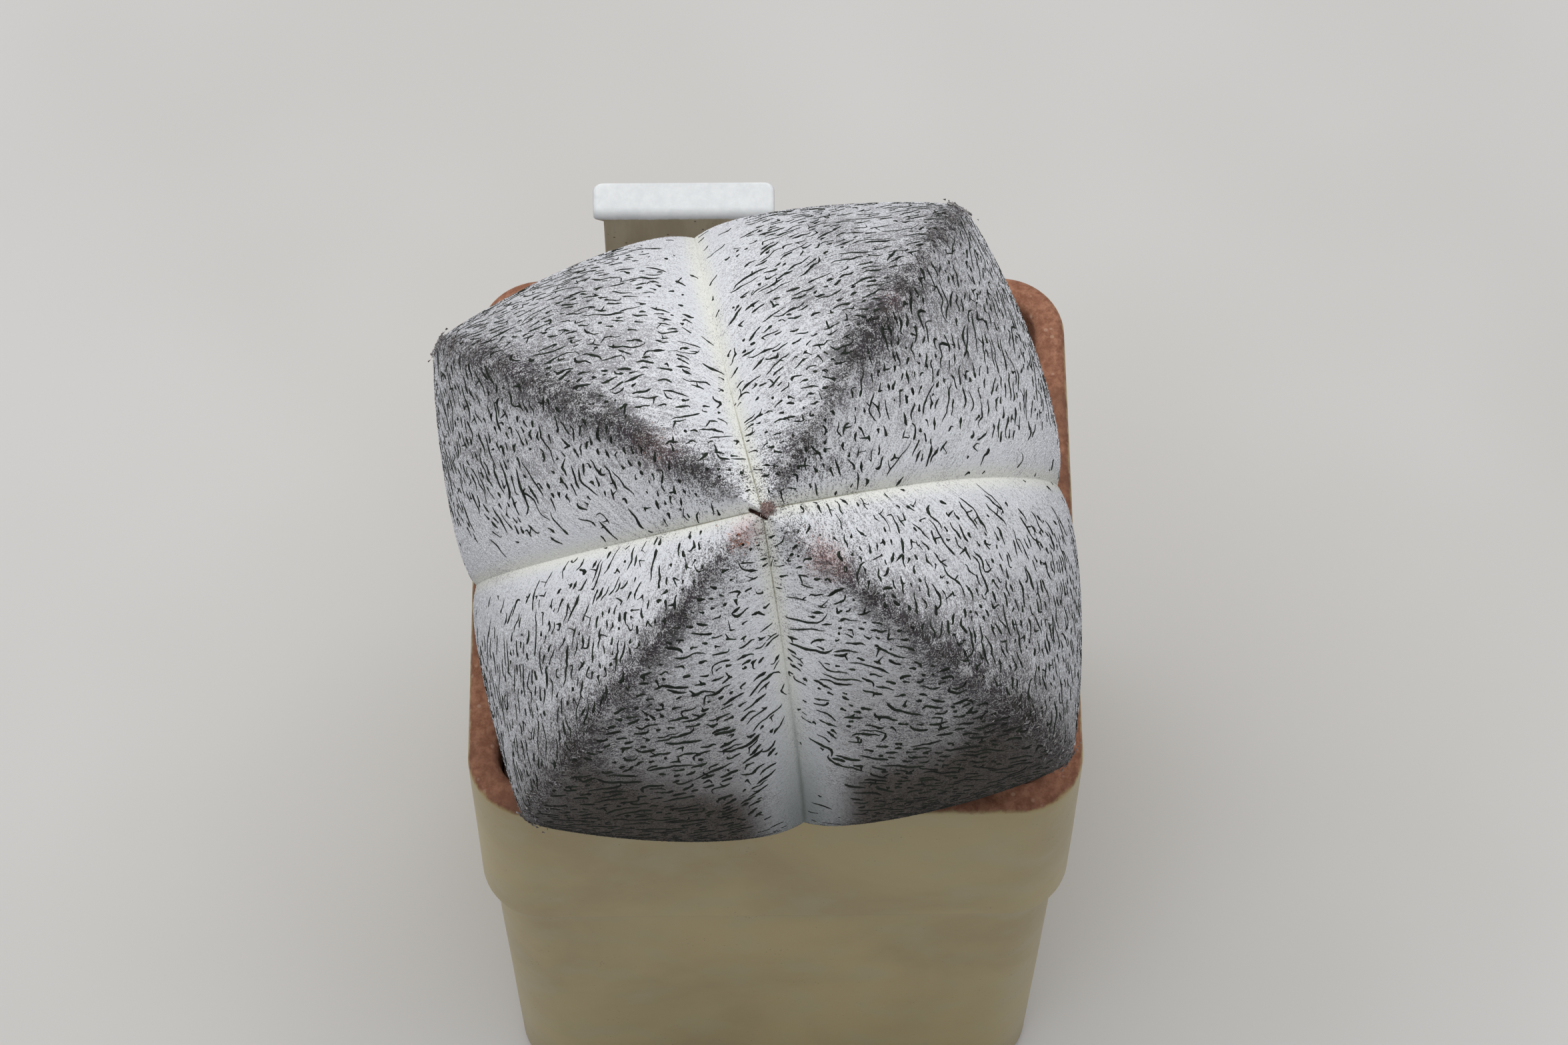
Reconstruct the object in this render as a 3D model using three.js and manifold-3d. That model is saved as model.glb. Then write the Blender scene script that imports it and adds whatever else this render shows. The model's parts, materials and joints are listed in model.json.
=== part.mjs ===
// A young four-ribbed bishop's cap cactus in a square clay pot, with a plant label standing behind it.
// Millimetres, +Z up. The origin is the middle of the pot's base, and the front of the pot faces -Y.

import * as THREE from "three";
import { mergeVertices } from "three/addons/utils/BufferGeometryUtils.js";
import Module from "manifold-3d";

// Pot: a rounded square, with a collar band standing proud of a slightly tapered lower body
const POT_WIDTH = 70;
const POT_HEIGHT = 90;
const POT_CORNER = 7.5;
const COLLAR_DEPTH = 32;
const COLLAR_PROUD = 1.4;
const BASE_WIDTH = 66;
const WALL = 3.6;
const FLOOR = 5;
const LIP_ROUND = 1.3;
const BASE_ROUND = 1.2;
const DRAIN_RADIUS = 3;
const DRAIN_SPACING = 26;

// Soil: its level below the lip, and the loose grit on it
const SOIL_DROP = 5;
const FIT_GAP = 0.3;
const GRAIN_COUNT = 64;
const GRAIN_SIZE = [1.5, 3.2];

// Plant: where its axis leaves the soil, how it leans to the light, and how it is turned
const FOOT = [-1.9, 0];
const LEAN_FORWARD = 23;
const LEAN_RIGHT = 0.3;
const TURN = 55.4;
const WAIST_HEIGHT = 39.5;
const CREST_RADIUS = 40.6;
const CROWN_HEIGHT = 28.9;
const ROOT_DEPTH = 56.5;
const CROWN_FULLNESS = 2.1;
const ROOT_FULLNESS = 1.7;
const ROOT_TAPER = 1.2;

// Ribs: how deep the furrows are, how soon they deepen, and by how many degrees and what share each crest and
// furrow strays from an even quarter turn, at the apex and at the waist
const RIBS = 4;
const FURROW_DEPTH = 7.9;
const FURROW_RISE = 0.3;
const BASE_SHALLOWING = 1.5;
const CREASE_SHARE = 0.14;
const CREASE_WIDTH = 0.1;
const FLANK_SWELL = 0.1;
const SHOULDER = 0.8;
const CREST_STRAY_TOP = [2.9, 3.7, -4.2, -4.7];
const CREST_STRAY_WAIST = [2.3, 4.6, -4.3, -2.5];
const FURROW_STRAY_TOP = [3.4, 0.4, -1.3, 2.1];
const FURROW_STRAY_WAIST = [2.0, 0.7, -2.1, -2.3];
const CREST_GROWTH = [0.024, 0, -0.006, 0.032];
const FURROW_GROWTH = [0.002, -0.039, -0.016, 0.005];

// Areoles: the woolly pads along each crest, and the tuft in the depressed apex
const AREOLE_SPACING = 5;
const AREOLE_FIRST = 4;
const AREOLE_RADIUS = 1;
const AREOLE_PROUD = 0.3;
const AREOLE_ABOVE_SOIL = 3;
const TUFT_RADIUS = 1.3;

// Label: a thin plate upright in a slot in the soil, its wider head bent back so that its face looks upwards
const LABEL_HEAD_WIDTH = 20.7;
const LABEL_HEAD_LENGTH = 3.3;
const LABEL_HEAD_SLOPE = 30;
const LABEL_STEM_WIDTH = 18.4;
const LABEL_THICKNESS = 1;
const LABEL_ABOVE_RIM = 25.2;
const LABEL_BURIED = 26;
const LABEL_POINT = 9;
const LABEL_CORNER = 1;
const LABEL_CENTRE = [-10.05, 28.6];

// Facets: how finely the curved pieces are divided
const CORNER_STEPS = 6;
const PLANT_ROWS = 40;
const FLANK_COLUMNS = [0, 0.08, 0.24, 0.44, 0.65, 0.85, 0.96, 1];

const HALF_TURN = Math.PI;
const QUARTER = Math.PI / 2;
const EIGHTH = Math.PI / 4;
const SOIL_LEVEL = POT_HEIGHT - SOIL_DROP;

const wasm = await Module();
wasm.setup();

const radians = THREE.MathUtils.degToRad;
const mix = THREE.MathUtils.lerp;
const ease = (value) => THREE.MathUtils.smoothstep(value, 0, 1);

// A repeatable stream of draws between 0 and 1
function draws(seed) {
  let state = seed;
  return () => {
    state = (Math.imul(state, 1664525) + 1013904223) >>> 0;
    return state / 4294967296;
  };
}

// Solids: a closed geometry made ready for joining and cutting, and back
function solidOf(geometry) {
  const bare = geometry.clone();
  bare.deleteAttribute("normal");
  bare.deleteAttribute("uv");
  const merged = mergeVertices(bare, 1e-4);
  return new wasm.Manifold(
    new wasm.Mesh({
      numProp: 3,
      vertProperties: new Float32Array(merged.attributes.position.array),
      triVerts: new Uint32Array(merged.index.array),
    }),
  );
}

function geometryOf(solid) {
  const mesh = solid.getMesh();
  const geometry = new THREE.BufferGeometry();
  geometry.setAttribute("position", new THREE.BufferAttribute(mesh.vertProperties, 3));
  geometry.setIndex(new THREE.BufferAttribute(mesh.triVerts, 1));
  geometry.computeVertexNormals();
  return geometry;
}

// The rounded square: its outline point at column number k, for a half width and a corner radius
function squarePoint(k, half, corner) {
  const steps = CORNER_STEPS + 1;
  const side = Math.floor(k / steps) % 4;
  const angle = ((k % steps) / CORNER_STEPS) * QUARTER + side * QUARTER;
  const middle = half - corner;
  const signX = side === 0 || side === 3 ? 1 : -1;
  const signY = side < 2 ? 1 : -1;
  return [signX * middle + corner * Math.cos(angle), signY * middle + corner * Math.sin(angle)];
}

// A lathed form drawn out to a rounded square: the profile's points hold half width, corner radius and height
function squareTurned(profile) {
  const columns = 4 * (CORNER_STEPS + 1);
  const points = profile.map(([half, , z]) => new THREE.Vector2(half, z));
  const geometry = new THREE.LatheGeometry(points, columns);
  const place = geometry.attributes.position;
  for (let k = 0; k <= columns; k += 1) {
    profile.forEach(([half, corner, z], row) => {
      const [x, y] = squarePoint(k, half, corner);
      place.setXYZ(k * profile.length + row, x, y, z);
    });
  }
  return geometry;
}

// An arc of a profile, from one angle to another about a centre, as [half, corner, z] points
function profileArc(half, z, radius, from, to, cornerInset) {
  const steps = 4;
  return Array.from({ length: steps + 1 }, (_, i) => {
    const angle = radians(mix(from, to, i / steps));
    const reach = half + radius * Math.cos(angle);
    return [reach, reach - cornerInset, z + radius * Math.sin(angle)];
  });
}

// Pot
function potSolid() {
  const rim = POT_WIDTH / 2;
  const base = BASE_WIDTH / 2;
  const shoulder = POT_HEIGHT - COLLAR_DEPTH;
  const neck = rim - COLLAR_PROUD;
  const straight = rim - POT_CORNER;
  const baseStraight = base - POT_CORNER;
  const cavityTop = rim - WALL;
  const cavityBase = base - WALL;
  const profile = [
    [0, 0, 0],
    ...profileArc(base - BASE_ROUND, BASE_ROUND, BASE_ROUND, -90, 0, baseStraight),
    [neck, neck - straight, shoulder - COLLAR_PROUD],
    ...profileArc(rim - LIP_ROUND, shoulder + LIP_ROUND, LIP_ROUND, -60, 0, straight),
    ...profileArc(rim - LIP_ROUND, POT_HEIGHT - LIP_ROUND, LIP_ROUND, 0, 90, straight),
    ...profileArc(cavityTop + LIP_ROUND, POT_HEIGHT - LIP_ROUND, LIP_ROUND, 90, 180, straight),
    [cavityBase, cavityBase - baseStraight, FLOOR],
    [0, 0, FLOOR],
  ];
  return solidOf(squareTurned(profile));
}

function drainHole(x, y) {
  const hole = new THREE.CylinderGeometry(DRAIN_RADIUS, DRAIN_RADIUS, 4 * FLOOR, 16);
  hole.rotateX(QUARTER);
  hole.translate(x, y, 0);
  return solidOf(hole);
}

function potGeometry() {
  let pot = potSolid();
  for (const x of [-DRAIN_SPACING / 2, DRAIN_SPACING / 2]) {
    for (const y of [-DRAIN_SPACING / 2, DRAIN_SPACING / 2]) {
      pot = pot.subtract(drainHole(x, y));
    }
  }
  return geometryOf(pot);
}

// Plant: the crest's outline, an ellipse with full shoulders, short above the waist and long below it
function crestProfile(polar) {
  const isAbove = polar < QUARTER;
  const height = isAbove ? CROWN_HEIGHT : -ROOT_DEPTH;
  const outward = isAbove ? CROWN_FULLNESS : ROOT_TAPER;
  const upward = isAbove ? CROWN_FULLNESS : ROOT_FULLNESS;
  return [
    CREST_RADIUS * Math.abs(Math.sin(polar)) ** (2 / outward),
    height * Math.abs(Math.cos(polar)) ** (2 / upward),
  ];
}

// How far a flank lies below the crest at a share of the way to the furrow, from 0 at the crest to 1
function flankDrop(polar, share) {
  const angle = share * EIGHTH;
  const nearApex = Math.sin(angle) / Math.sin(EIGHTH);
  const straight = (1 - Math.cos(EIGHTH) / Math.cos(EIGHTH - angle)) / (1 - Math.cos(EIGHTH));
  const atWaist = mix(straight, share, FLANK_SWELL);
  const flank = mix(nearApex, atWaist, ease(polar / QUARTER / SHOULDER));
  return mix(flank, Math.exp((share - 1) / CREASE_WIDTH), CREASE_SHARE);
}

// A point of the plant's skin on its own axis: rib number, side of the crest, share of the way to the furrow
function skinPoint(rib, side, share, polar, swell) {
  const step = 1e-3;
  const [radius, height] = crestProfile(polar);
  const [radiusBefore, heightBefore] = crestProfile(Math.max(polar - step, 1e-4));
  const [radiusAfter, heightAfter] = crestProfile(Math.min(polar + step, HALF_TURN - 1e-4));
  const along = new THREE.Vector2(radiusAfter - radiusBefore, heightAfter - heightBefore).normalize();
  const below = THREE.MathUtils.clamp((polar - QUARTER) / QUARTER, 0, 1);
  const depth = FURROW_DEPTH * (1 - Math.exp(-polar / FURROW_RISE)) * (1 - below ** BASE_SHALLOWING);
  const drop = depth * flankDrop(polar, share) - swell;
  const furrow = side > 0 ? rib : (rib + RIBS - 1) % RIBS;
  const down = Math.min(polar / QUARTER, 1);
  const crestStray = mix(CREST_STRAY_TOP[rib], CREST_STRAY_WAIST[rib], ease(down));
  const furrowStray = mix(FURROW_STRAY_TOP[furrow], FURROW_STRAY_WAIST[furrow], ease(down));
  const stray = mix(crestStray, furrowStray, share);
  const azimuth = radians(TURN + 90 * rib + 45 * side * share + stray);
  const growth = 1 + down * mix(CREST_GROWTH[rib], FURROW_GROWTH[furrow], ease(share));
  const reach = Math.max(growth * (radius + along.y * drop), 0);
  return new THREE.Vector3(reach * Math.cos(azimuth), reach * Math.sin(azimuth), height - along.x * drop);
}

// The polar angle of a row, closer to the next one at the apex
function rowAngle(row) {
  const share = row / PLANT_ROWS;
  return HALF_TURN * mix(share ** 1.5, share, share);
}

// Skin: a sphere's grid, each vertex carried to its place on the ribs
function skinSolid(swell) {
  const columns = [];
  for (let rib = 0; rib < RIBS; rib += 1) {
    FLANK_COLUMNS.slice(0, -1).forEach((share) => columns.push([rib, 1, share]));
    FLANK_COLUMNS.slice(1).reverse().forEach((share) => columns.push([(rib + 1) % RIBS, -1, share]));
  }
  const grid = new THREE.SphereGeometry(1, columns.length, PLANT_ROWS);
  const place = grid.attributes.position;
  for (let row = 0; row <= PLANT_ROWS; row += 1) {
    for (let column = 0; column <= columns.length; column += 1) {
      const [rib, side, share] = columns[column % columns.length];
      const isPole = row === 0 || row === PLANT_ROWS;
      const point = skinPoint(rib, side, share, rowAngle(row), swell);
      if (isPole) {
        point.x = 0;
        point.y = 0;
      }
      place.setXYZ(row * (columns.length + 1) + column, point.x, point.y, point.z);
    }
  }
  return solidOf(grid);
}

// Areoles: squat domes seated along the crests at even steps, from just below the apex to the soil
function areoleAngles() {
  const angles = [];
  let travelled = 0;
  let next = AREOLE_FIRST;
  let [radius, height] = crestProfile(0);
  const step = 0.004;
  for (let polar = step; height > -WAIST_HEIGHT; polar += step) {
    const [nextRadius, nextHeight] = crestProfile(polar);
    travelled += Math.hypot(nextRadius - radius, nextHeight - height);
    [radius, height] = [nextRadius, nextHeight];
    if (travelled >= next) {
      angles.push(polar);
      next += AREOLE_SPACING;
    }
  }
  return angles;
}

function domeSolid(centre, outward, radius, proud) {
  const dome = new THREE.SphereGeometry(1, 6, 3);
  dome.rotateX(QUARTER);
  dome.scale(radius, radius, 2 * proud);
  dome.applyQuaternion(new THREE.Quaternion().setFromUnitVectors(new THREE.Vector3(0, 0, 1), outward));
  const seat = centre.clone().addScaledVector(outward, -proud);
  dome.translate(seat.x, seat.y, seat.z);
  return solidOf(dome);
}

function areoleSolids() {
  const solids = [];
  const reach = 0.02;
  const placed = stance();
  const isClearOfSoil = (point) => point.clone().applyMatrix4(placed).z > SOIL_LEVEL + AREOLE_ABOVE_SOIL;
  for (let rib = 0; rib < RIBS; rib += 1) {
    for (const polar of areoleAngles()) {
      const centre = skinPoint(rib, 1, 0, polar, 0);
      if (!isClearOfSoil(centre)) {
        break;
      }
      const above = skinPoint(rib, 1, 0, polar - reach, 0);
      const along = skinPoint(rib, 1, 0, polar + reach, 0).sub(above).normalize();
      const across = new THREE.Vector3(-centre.y, centre.x, 0).normalize();
      const outward = new THREE.Vector3().crossVectors(along, across).normalize();
      solids.push(domeSolid(centre, outward, AREOLE_RADIUS, AREOLE_PROUD));
    }
  }
  const apex = new THREE.Vector3(0, 0, CROWN_HEIGHT);
  solids.push(domeSolid(apex, new THREE.Vector3(0, 0, 1), TUFT_RADIUS, AREOLE_PROUD));
  return solids;
}

// The plant's stance: its own axis carried to the soil's hole, leaning to the light
function stance() {
  const up = new THREE.Vector3(Math.sin(radians(LEAN_RIGHT)), -Math.sin(radians(LEAN_FORWARD)), 0);
  up.z = Math.sqrt(1 - up.x ** 2 - up.y ** 2);
  const right = new THREE.Vector3().crossVectors(new THREE.Vector3(0, 1, 0), up).normalize();
  const back = new THREE.Vector3().crossVectors(up, right);
  const foot = new THREE.Vector3(FOOT[0], FOOT[1], SOIL_LEVEL);
  const waist = foot.addScaledVector(up, WAIST_HEIGHT);
  return new THREE.Matrix4().makeBasis(right, back, up).setPosition(waist);
}

function plantGeometry() {
  const plant = areoleSolids().reduce((whole, dome) => whole.add(dome), skinSolid(0));
  return geometryOf(plant).applyMatrix4(stance());
}

// Label: its stem, grown by a clearance on every side for the slot in the soil
function stemGeometry(clearance) {
  const bend = POT_HEIGHT + LABEL_ABOVE_RIM;
  const pointTop = SOIL_LEVEL - LABEL_BURIED + LABEL_POINT;
  const point = SOIL_LEVEL - LABEL_BURIED - clearance;
  const half = LABEL_STEM_WIDTH / 2 + clearance;
  const outline = new THREE.Shape();
  outline.moveTo(-half / 4, point);
  outline.lineTo(half / 4, point);
  outline.lineTo(half, pointTop);
  outline.lineTo(half, bend);
  outline.lineTo(-half, bend);
  outline.lineTo(-half, pointTop);
  const thickness = LABEL_THICKNESS + 2 * clearance;
  const plate = new THREE.ExtrudeGeometry(outline, { depth: thickness, bevelEnabled: false });
  plate.rotateX(QUARTER);
  plate.translate(LABEL_CENTRE[0], LABEL_CENTRE[1] + thickness / 2, 0);
  return plate;
}

// The label's head: a plate with two rounded corners, which slopes up and back from the bend
function headGeometry() {
  const half = LABEL_HEAD_WIDTH / 2;
  const inset = half - LABEL_CORNER;
  const rise = LABEL_HEAD_LENGTH - LABEL_CORNER;
  const outline = new THREE.Shape();
  outline.moveTo(-half, 0);
  outline.lineTo(half, 0);
  outline.lineTo(half, rise);
  outline.absarc(inset, rise, LABEL_CORNER, 0, QUARTER, false);
  outline.absarc(-inset, rise, LABEL_CORNER, QUARTER, HALF_TURN, false);
  const plate = new THREE.ExtrudeGeometry(outline, {
    depth: LABEL_THICKNESS,
    bevelEnabled: false,
    curveSegments: 4,
  });
  plate.translate(0, 0, -LABEL_THICKNESS / 2);
  plate.rotateX(radians(LABEL_HEAD_SLOPE));
  plate.translate(LABEL_CENTRE[0], LABEL_CENTRE[1], POT_HEIGHT + LABEL_ABOVE_RIM);
  return plate;
}

// The bend between them, rounded on its outer side
function bendGeometry() {
  const bend = new THREE.CylinderGeometry(LABEL_THICKNESS / 2, LABEL_THICKNESS / 2, LABEL_HEAD_WIDTH, 16);
  bend.rotateZ(QUARTER);
  bend.translate(LABEL_CENTRE[0], LABEL_CENTRE[1], POT_HEIGHT + LABEL_ABOVE_RIM);
  return bend;
}

function labelGeometry() {
  const head = solidOf(headGeometry()).add(solidOf(bendGeometry()));
  return geometryOf(head.add(solidOf(stemGeometry(0))));
}

// Soil: the block between the walls, with grit sunk in its top, cut clear of the plant's foot and the label
function soilBlock() {
  const cavityTop = POT_WIDTH / 2 - WALL;
  const cavityBase = BASE_WIDTH / 2 - WALL;
  const taper = (cavityTop - cavityBase) / (POT_HEIGHT - LIP_ROUND - FLOOR);
  const bottom = FLOOR + FIT_GAP;
  const halfTop = cavityBase + taper * (SOIL_LEVEL - FLOOR) - FIT_GAP;
  const halfBase = cavityBase - FIT_GAP;
  const straightTop = POT_WIDTH / 2 - POT_CORNER;
  const straightBase = BASE_WIDTH / 2 - POT_CORNER;
  return solidOf(
    squareTurned([
      [0, 0, bottom],
      [halfBase, halfBase - straightBase, bottom],
      [halfTop, halfTop - straightTop, SOIL_LEVEL],
      [0, 0, SOIL_LEVEL],
    ]),
  );
}

// A grain of grit: a squat faceted stone, sunk to a little over its middle
function grainSolid(draw, reach) {
  const size = mix(GRAIN_SIZE[0], GRAIN_SIZE[1], draw() ** 2);
  const grain = new THREE.IcosahedronGeometry(size / 2, 0);
  grain.scale(1, mix(0.7, 1, draw()), mix(0.6, 0.85, draw()));
  grain.rotateZ(draw() * 2 * HALF_TURN);
  const x = mix(-reach, reach, draw());
  const y = mix(-reach, reach, draw());
  grain.translate(x, y, SOIL_LEVEL - 0.08 * size);
  return solidOf(grain);
}

function soilGeometry() {
  const draw = draws(7);
  const reach = POT_WIDTH / 2 - WALL - GRAIN_SIZE[1];
  let soil = soilBlock();
  for (let i = 0; i < GRAIN_COUNT; i += 1) {
    soil = soil.add(grainSolid(draw, reach));
  }
  const hole = solidOf(geometryOf(skinSolid(FIT_GAP)).applyMatrix4(stance()));
  const slot = solidOf(stemGeometry(FIT_GAP));
  return geometryOf(soil.subtract(hole).subtract(slot));
}

// The assembly
function piece(name, geometry, color, roughness) {
  const material = new THREE.MeshStandardMaterial({ color, roughness, metalness: 0 });
  const mesh = new THREE.Mesh(geometry, material);
  mesh.name = name;
  return mesh;
}

const group = new THREE.Group();
group.add(piece("pot", potGeometry(), 0x9c8f74, 0.5));
group.add(piece("soil", soilGeometry(), 0x5a4335, 0.95));
group.add(piece("cactus_body", plantGeometry(), 0xb9bab8, 0.9));
group.add(piece("plant_label", labelGeometry(), 0xe8ebe8, 0.5));

export default group;
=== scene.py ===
import itertools
import json
import math

import bpy
import numpy as np
from mathutils import Matrix, Vector

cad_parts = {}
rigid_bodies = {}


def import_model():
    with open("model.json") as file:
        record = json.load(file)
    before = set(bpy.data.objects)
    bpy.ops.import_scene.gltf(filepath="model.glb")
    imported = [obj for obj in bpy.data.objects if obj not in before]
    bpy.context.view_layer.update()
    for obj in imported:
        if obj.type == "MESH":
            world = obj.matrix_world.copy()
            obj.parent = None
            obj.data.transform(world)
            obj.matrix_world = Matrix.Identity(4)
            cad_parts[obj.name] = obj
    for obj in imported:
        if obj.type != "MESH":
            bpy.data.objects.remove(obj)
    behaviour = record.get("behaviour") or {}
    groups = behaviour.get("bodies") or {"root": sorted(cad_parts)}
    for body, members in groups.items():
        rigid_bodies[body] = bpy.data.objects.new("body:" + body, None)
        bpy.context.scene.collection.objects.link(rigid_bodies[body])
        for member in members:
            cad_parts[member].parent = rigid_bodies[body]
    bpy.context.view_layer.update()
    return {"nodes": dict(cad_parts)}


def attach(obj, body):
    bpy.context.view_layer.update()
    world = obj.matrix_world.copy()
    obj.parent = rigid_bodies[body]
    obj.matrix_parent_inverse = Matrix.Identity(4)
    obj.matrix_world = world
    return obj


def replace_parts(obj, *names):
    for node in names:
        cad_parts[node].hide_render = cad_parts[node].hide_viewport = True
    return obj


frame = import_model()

# A young bishop's cap cactus leaning out of its square pot, seen from above. Metres, in the frame of the
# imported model: the middle of the pot's base is the origin, and the pot's front faces -Y.
MM = 0.001


# The pot: one pressed clay body, square with rounded corners, with a deep collar band round its top. The
# outside wears a thin khaki glaze. The lip, the inside and the underside are bare red clay, and the glaze
# breaks red along the collar's edge. Four drain holes go through its floor.
POT_HALF = 35 * MM
POT_HEIGHT = 90 * MM
POT_CORNER = 7.5 * MM
COLLAR_DEPTH = 32 * MM
COLLAR_PROUD = 1.4 * MM
BASE_HALF = 33 * MM
WALL = 3.6 * MM
FLOOR = 5 * MM
LIP_ROUND = 1.3 * MM
BASE_ROUND = 1.2 * MM
DRAIN_RADIUS = 3 * MM
DRAIN_REACH = 13 * MM
CLAY_WAVE = 0.12 * MM
CLAY_WAVE_CELL = 14 * MM
GLAZE_EDGE = 2.4 * MM
LONGEST_FACE = 3 * MM
ARC_STEPS = 9


def drift(places, cell, seed):
    """Value noise from -1 to 1: a seeded number at each corner of a lattice of cubes of width cell, and
    between the corners the sum of the eight numbers, each times the smooth steps of the point's share of
    the way to it."""
    lattice = 24
    table = np.random.default_rng(seed).uniform(-1, 1, (lattice,) * 3)
    scaled = np.asarray(places, float) / cell
    low = np.floor(scaled).astype(int)
    share = scaled - low
    share = share * share * (3 - 2 * share)
    total = 0.0
    for corner in itertools.product((0, 1), repeat=3):
        weight = np.prod(np.where(np.array(corner) == 1, share, 1 - share), axis=-1)
        index = (low + corner) % lattice
        total = total + weight * table[index[..., 0], index[..., 1], index[..., 2]]
    return total


def add_piece(name, places, faces, material, attributes=None, smooth=True):
    """A mesh object at the origin from arrays: places of shape (n, 3), a list of face arrays with one width
    each, and numbers, vectors or colours for each vertex. It rides on the part's one body and takes the
    material it is given."""
    mesh = bpy.data.meshes.new(name)
    mesh.vertices.add(len(places))
    mesh.vertices.foreach_set("co", np.asarray(places, np.float32).ravel())
    corners = np.concatenate([np.asarray(f, np.int32).ravel() for f in faces])
    sizes = np.concatenate([np.full(len(f), np.shape(f)[1], np.int32) for f in faces])
    mesh.loops.add(len(corners))
    mesh.loops.foreach_set("vertex_index", corners)
    mesh.polygons.add(len(sizes))
    mesh.polygons.foreach_set("loop_start", np.cumsum(sizes, dtype=np.int32) - sizes)
    mesh.polygons.foreach_set("use_smooth", np.full(len(sizes), smooth))
    mesh.update(calc_edges=True)
    kinds = {1: ("FLOAT", "value"), 3: ("FLOAT_VECTOR", "vector"), 4: ("FLOAT_COLOR", "color")}
    for label, values in (attributes or {}).items():
        values = np.asarray(values, np.float32)
        kind, field = kinds[values.shape[1] if values.ndim == 2 else 1]
        mesh.attributes.new(label, kind, "POINT").data.foreach_set(field, values.ravel())
    mesh.materials.append(material)
    piece = bpy.data.objects.new(name, mesh)
    bpy.context.scene.collection.objects.link(piece)
    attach(piece, "root")
    return piece


def grid_faces(rows, columns, closed):
    """Quads between neighbouring rows and columns of a grid whose vertices are counted along its rows. A
    closed grid also joins its last column to its first."""
    row, column = np.mgrid[0 : rows - 1, 0 : columns - (0 if closed else 1)]
    following = (column + 1) % columns
    start = row * columns
    quads = [start + column, start + following, start + columns + following, start + columns + column]
    return np.stack(quads, -1).reshape(-1, 4)


class Wire:
    """A socket in a material's nodes. Sums, differences and products of wires and numbers, either way
    round, add their Math nodes, and node adds any other."""

    def __init__(self, tree, socket=None):
        self.tree = tree
        self.socket = socket

    def node(self, kind, settings=None, sockets=None, output=0):
        """One node of a kind: its settings come first, with a ramp's stops among them, then its sockets."""
        made = self.tree.nodes.new(kind)
        for name, value in (settings or {}).items():
            if name == "stops":
                elements = made.color_ramp.elements
                while len(elements) < len(value):
                    elements.new(1.0)
                for element, (position, colour) in zip(elements, value):
                    element.position = position
                    element.color = colour
            else:
                setattr(made, name, value)
        for name, value in (sockets or {}).items():
            if isinstance(value, Wire):
                self.tree.links.new(value.socket, made.inputs[name])
            else:
                made.inputs[name].default_value = value
        return Wire(self.tree, made.outputs[output] if made.outputs else None)

    def math(self, operation, first, second):
        return self.node("ShaderNodeMath", {"operation": operation}, {0: first, 1: second})

    def __add__(self, other):
        return self.math("ADD", self, other)

    def __radd__(self, other):
        return self.math("ADD", other, self)

    def __sub__(self, other):
        return self.math("SUBTRACT", self, other)

    def __rsub__(self, other):
        return self.math("SUBTRACT", other, self)

    def __mul__(self, other):
        return self.math("MULTIPLY", self, other)

    def __rmul__(self, other):
        return self.math("MULTIPLY", other, self)

    def step(self, low, high):
        """0 below low, 1 above high and a smooth step between. High below low turns it round."""
        names = {"Value": self, "From Min": low, "From Max": high}
        return self.node("ShaderNodeMapRange", {"interpolation_type": "SMOOTHSTEP"}, names)

    def blend(self, first, second):
        """A colour that goes from first to second as this wire goes from 0 to 1."""
        sockets = {"Factor": self, 6: first, 7: second}
        return self.node("ShaderNodeMix", {"data_type": "RGBA"}, sockets, 2)

    def noise(self, scale, detail=4.0, roughness=0.6, distortion=0.0):
        """Fractal noise read at this wire's coordinates."""
        sockets = {
            "Vector": self,
            "Scale": scale,
            "Detail": detail,
            "Roughness": roughness,
            "Distortion": distortion,
        }
        return self.node("ShaderNodeTexNoise", None, sockets)

    def cells(self, scale):
        """The distance to the middle of the nearest Voronoi cell, read at this wire's coordinates."""
        return self.node("ShaderNodeTexVoronoi", {"feature": "F1"}, {"Vector": self, "Scale": scale})

    def attribute(self, name, output=2):
        """A vertex attribute: output 2 is a number, 1 a vector and 0 a colour."""
        return self.node("ShaderNodeAttribute", {"attribute_name": name}, None, output)

    def objects(self):
        """The object's own coordinates, in metres."""
        return self.node("ShaderNodeTexCoord", None, None, 3)

    def bump(self, height, distance, strength=1.0):
        """A normal that follows a height from 0 to 1 times a distance."""
        sockets = {"Height": height, "Distance": distance, "Strength": strength}
        return self.node("ShaderNodeBump", None, sockets)

    def surface(self, sockets):
        """The material's one Principled shader, joined to its output."""
        shader = self.node("ShaderNodeBsdfPrincipled", None, sockets)
        self.node("ShaderNodeOutputMaterial", None, {"Surface": shader})


def new_material(name):
    """A material with no nodes yet, and the wire that adds them."""
    material = bpy.data.materials.new(name)
    material.use_nodes = True
    material.node_tree.nodes.clear()
    return material, Wire(material.node_tree)


def square_ring(side_share, half, corner):
    """A point of a rounded square. side_share runs from 0 to 4, one for each corner and the side after it:
    over its first half an arc of a quarter turn about the corner's centre, over its second the straight way
    to the next."""
    side = np.floor(side_share).astype(int) % 4
    share = side_share - np.floor(side_share)
    angle = (side + np.minimum(2 * share, 1)) * math.pi / 2
    slide = np.maximum(2 * share - 1, 0)
    signs = np.array([[1, 1], [-1, 1], [-1, -1], [1, -1]])
    middle = signs[side] + slide[..., None] * (signs[(side + 1) % 4] - signs[side])
    x = middle[..., 0] * (half - corner) + corner * np.cos(angle)
    y = middle[..., 1] * (half - corner) + corner * np.sin(angle)
    return x, y


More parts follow.
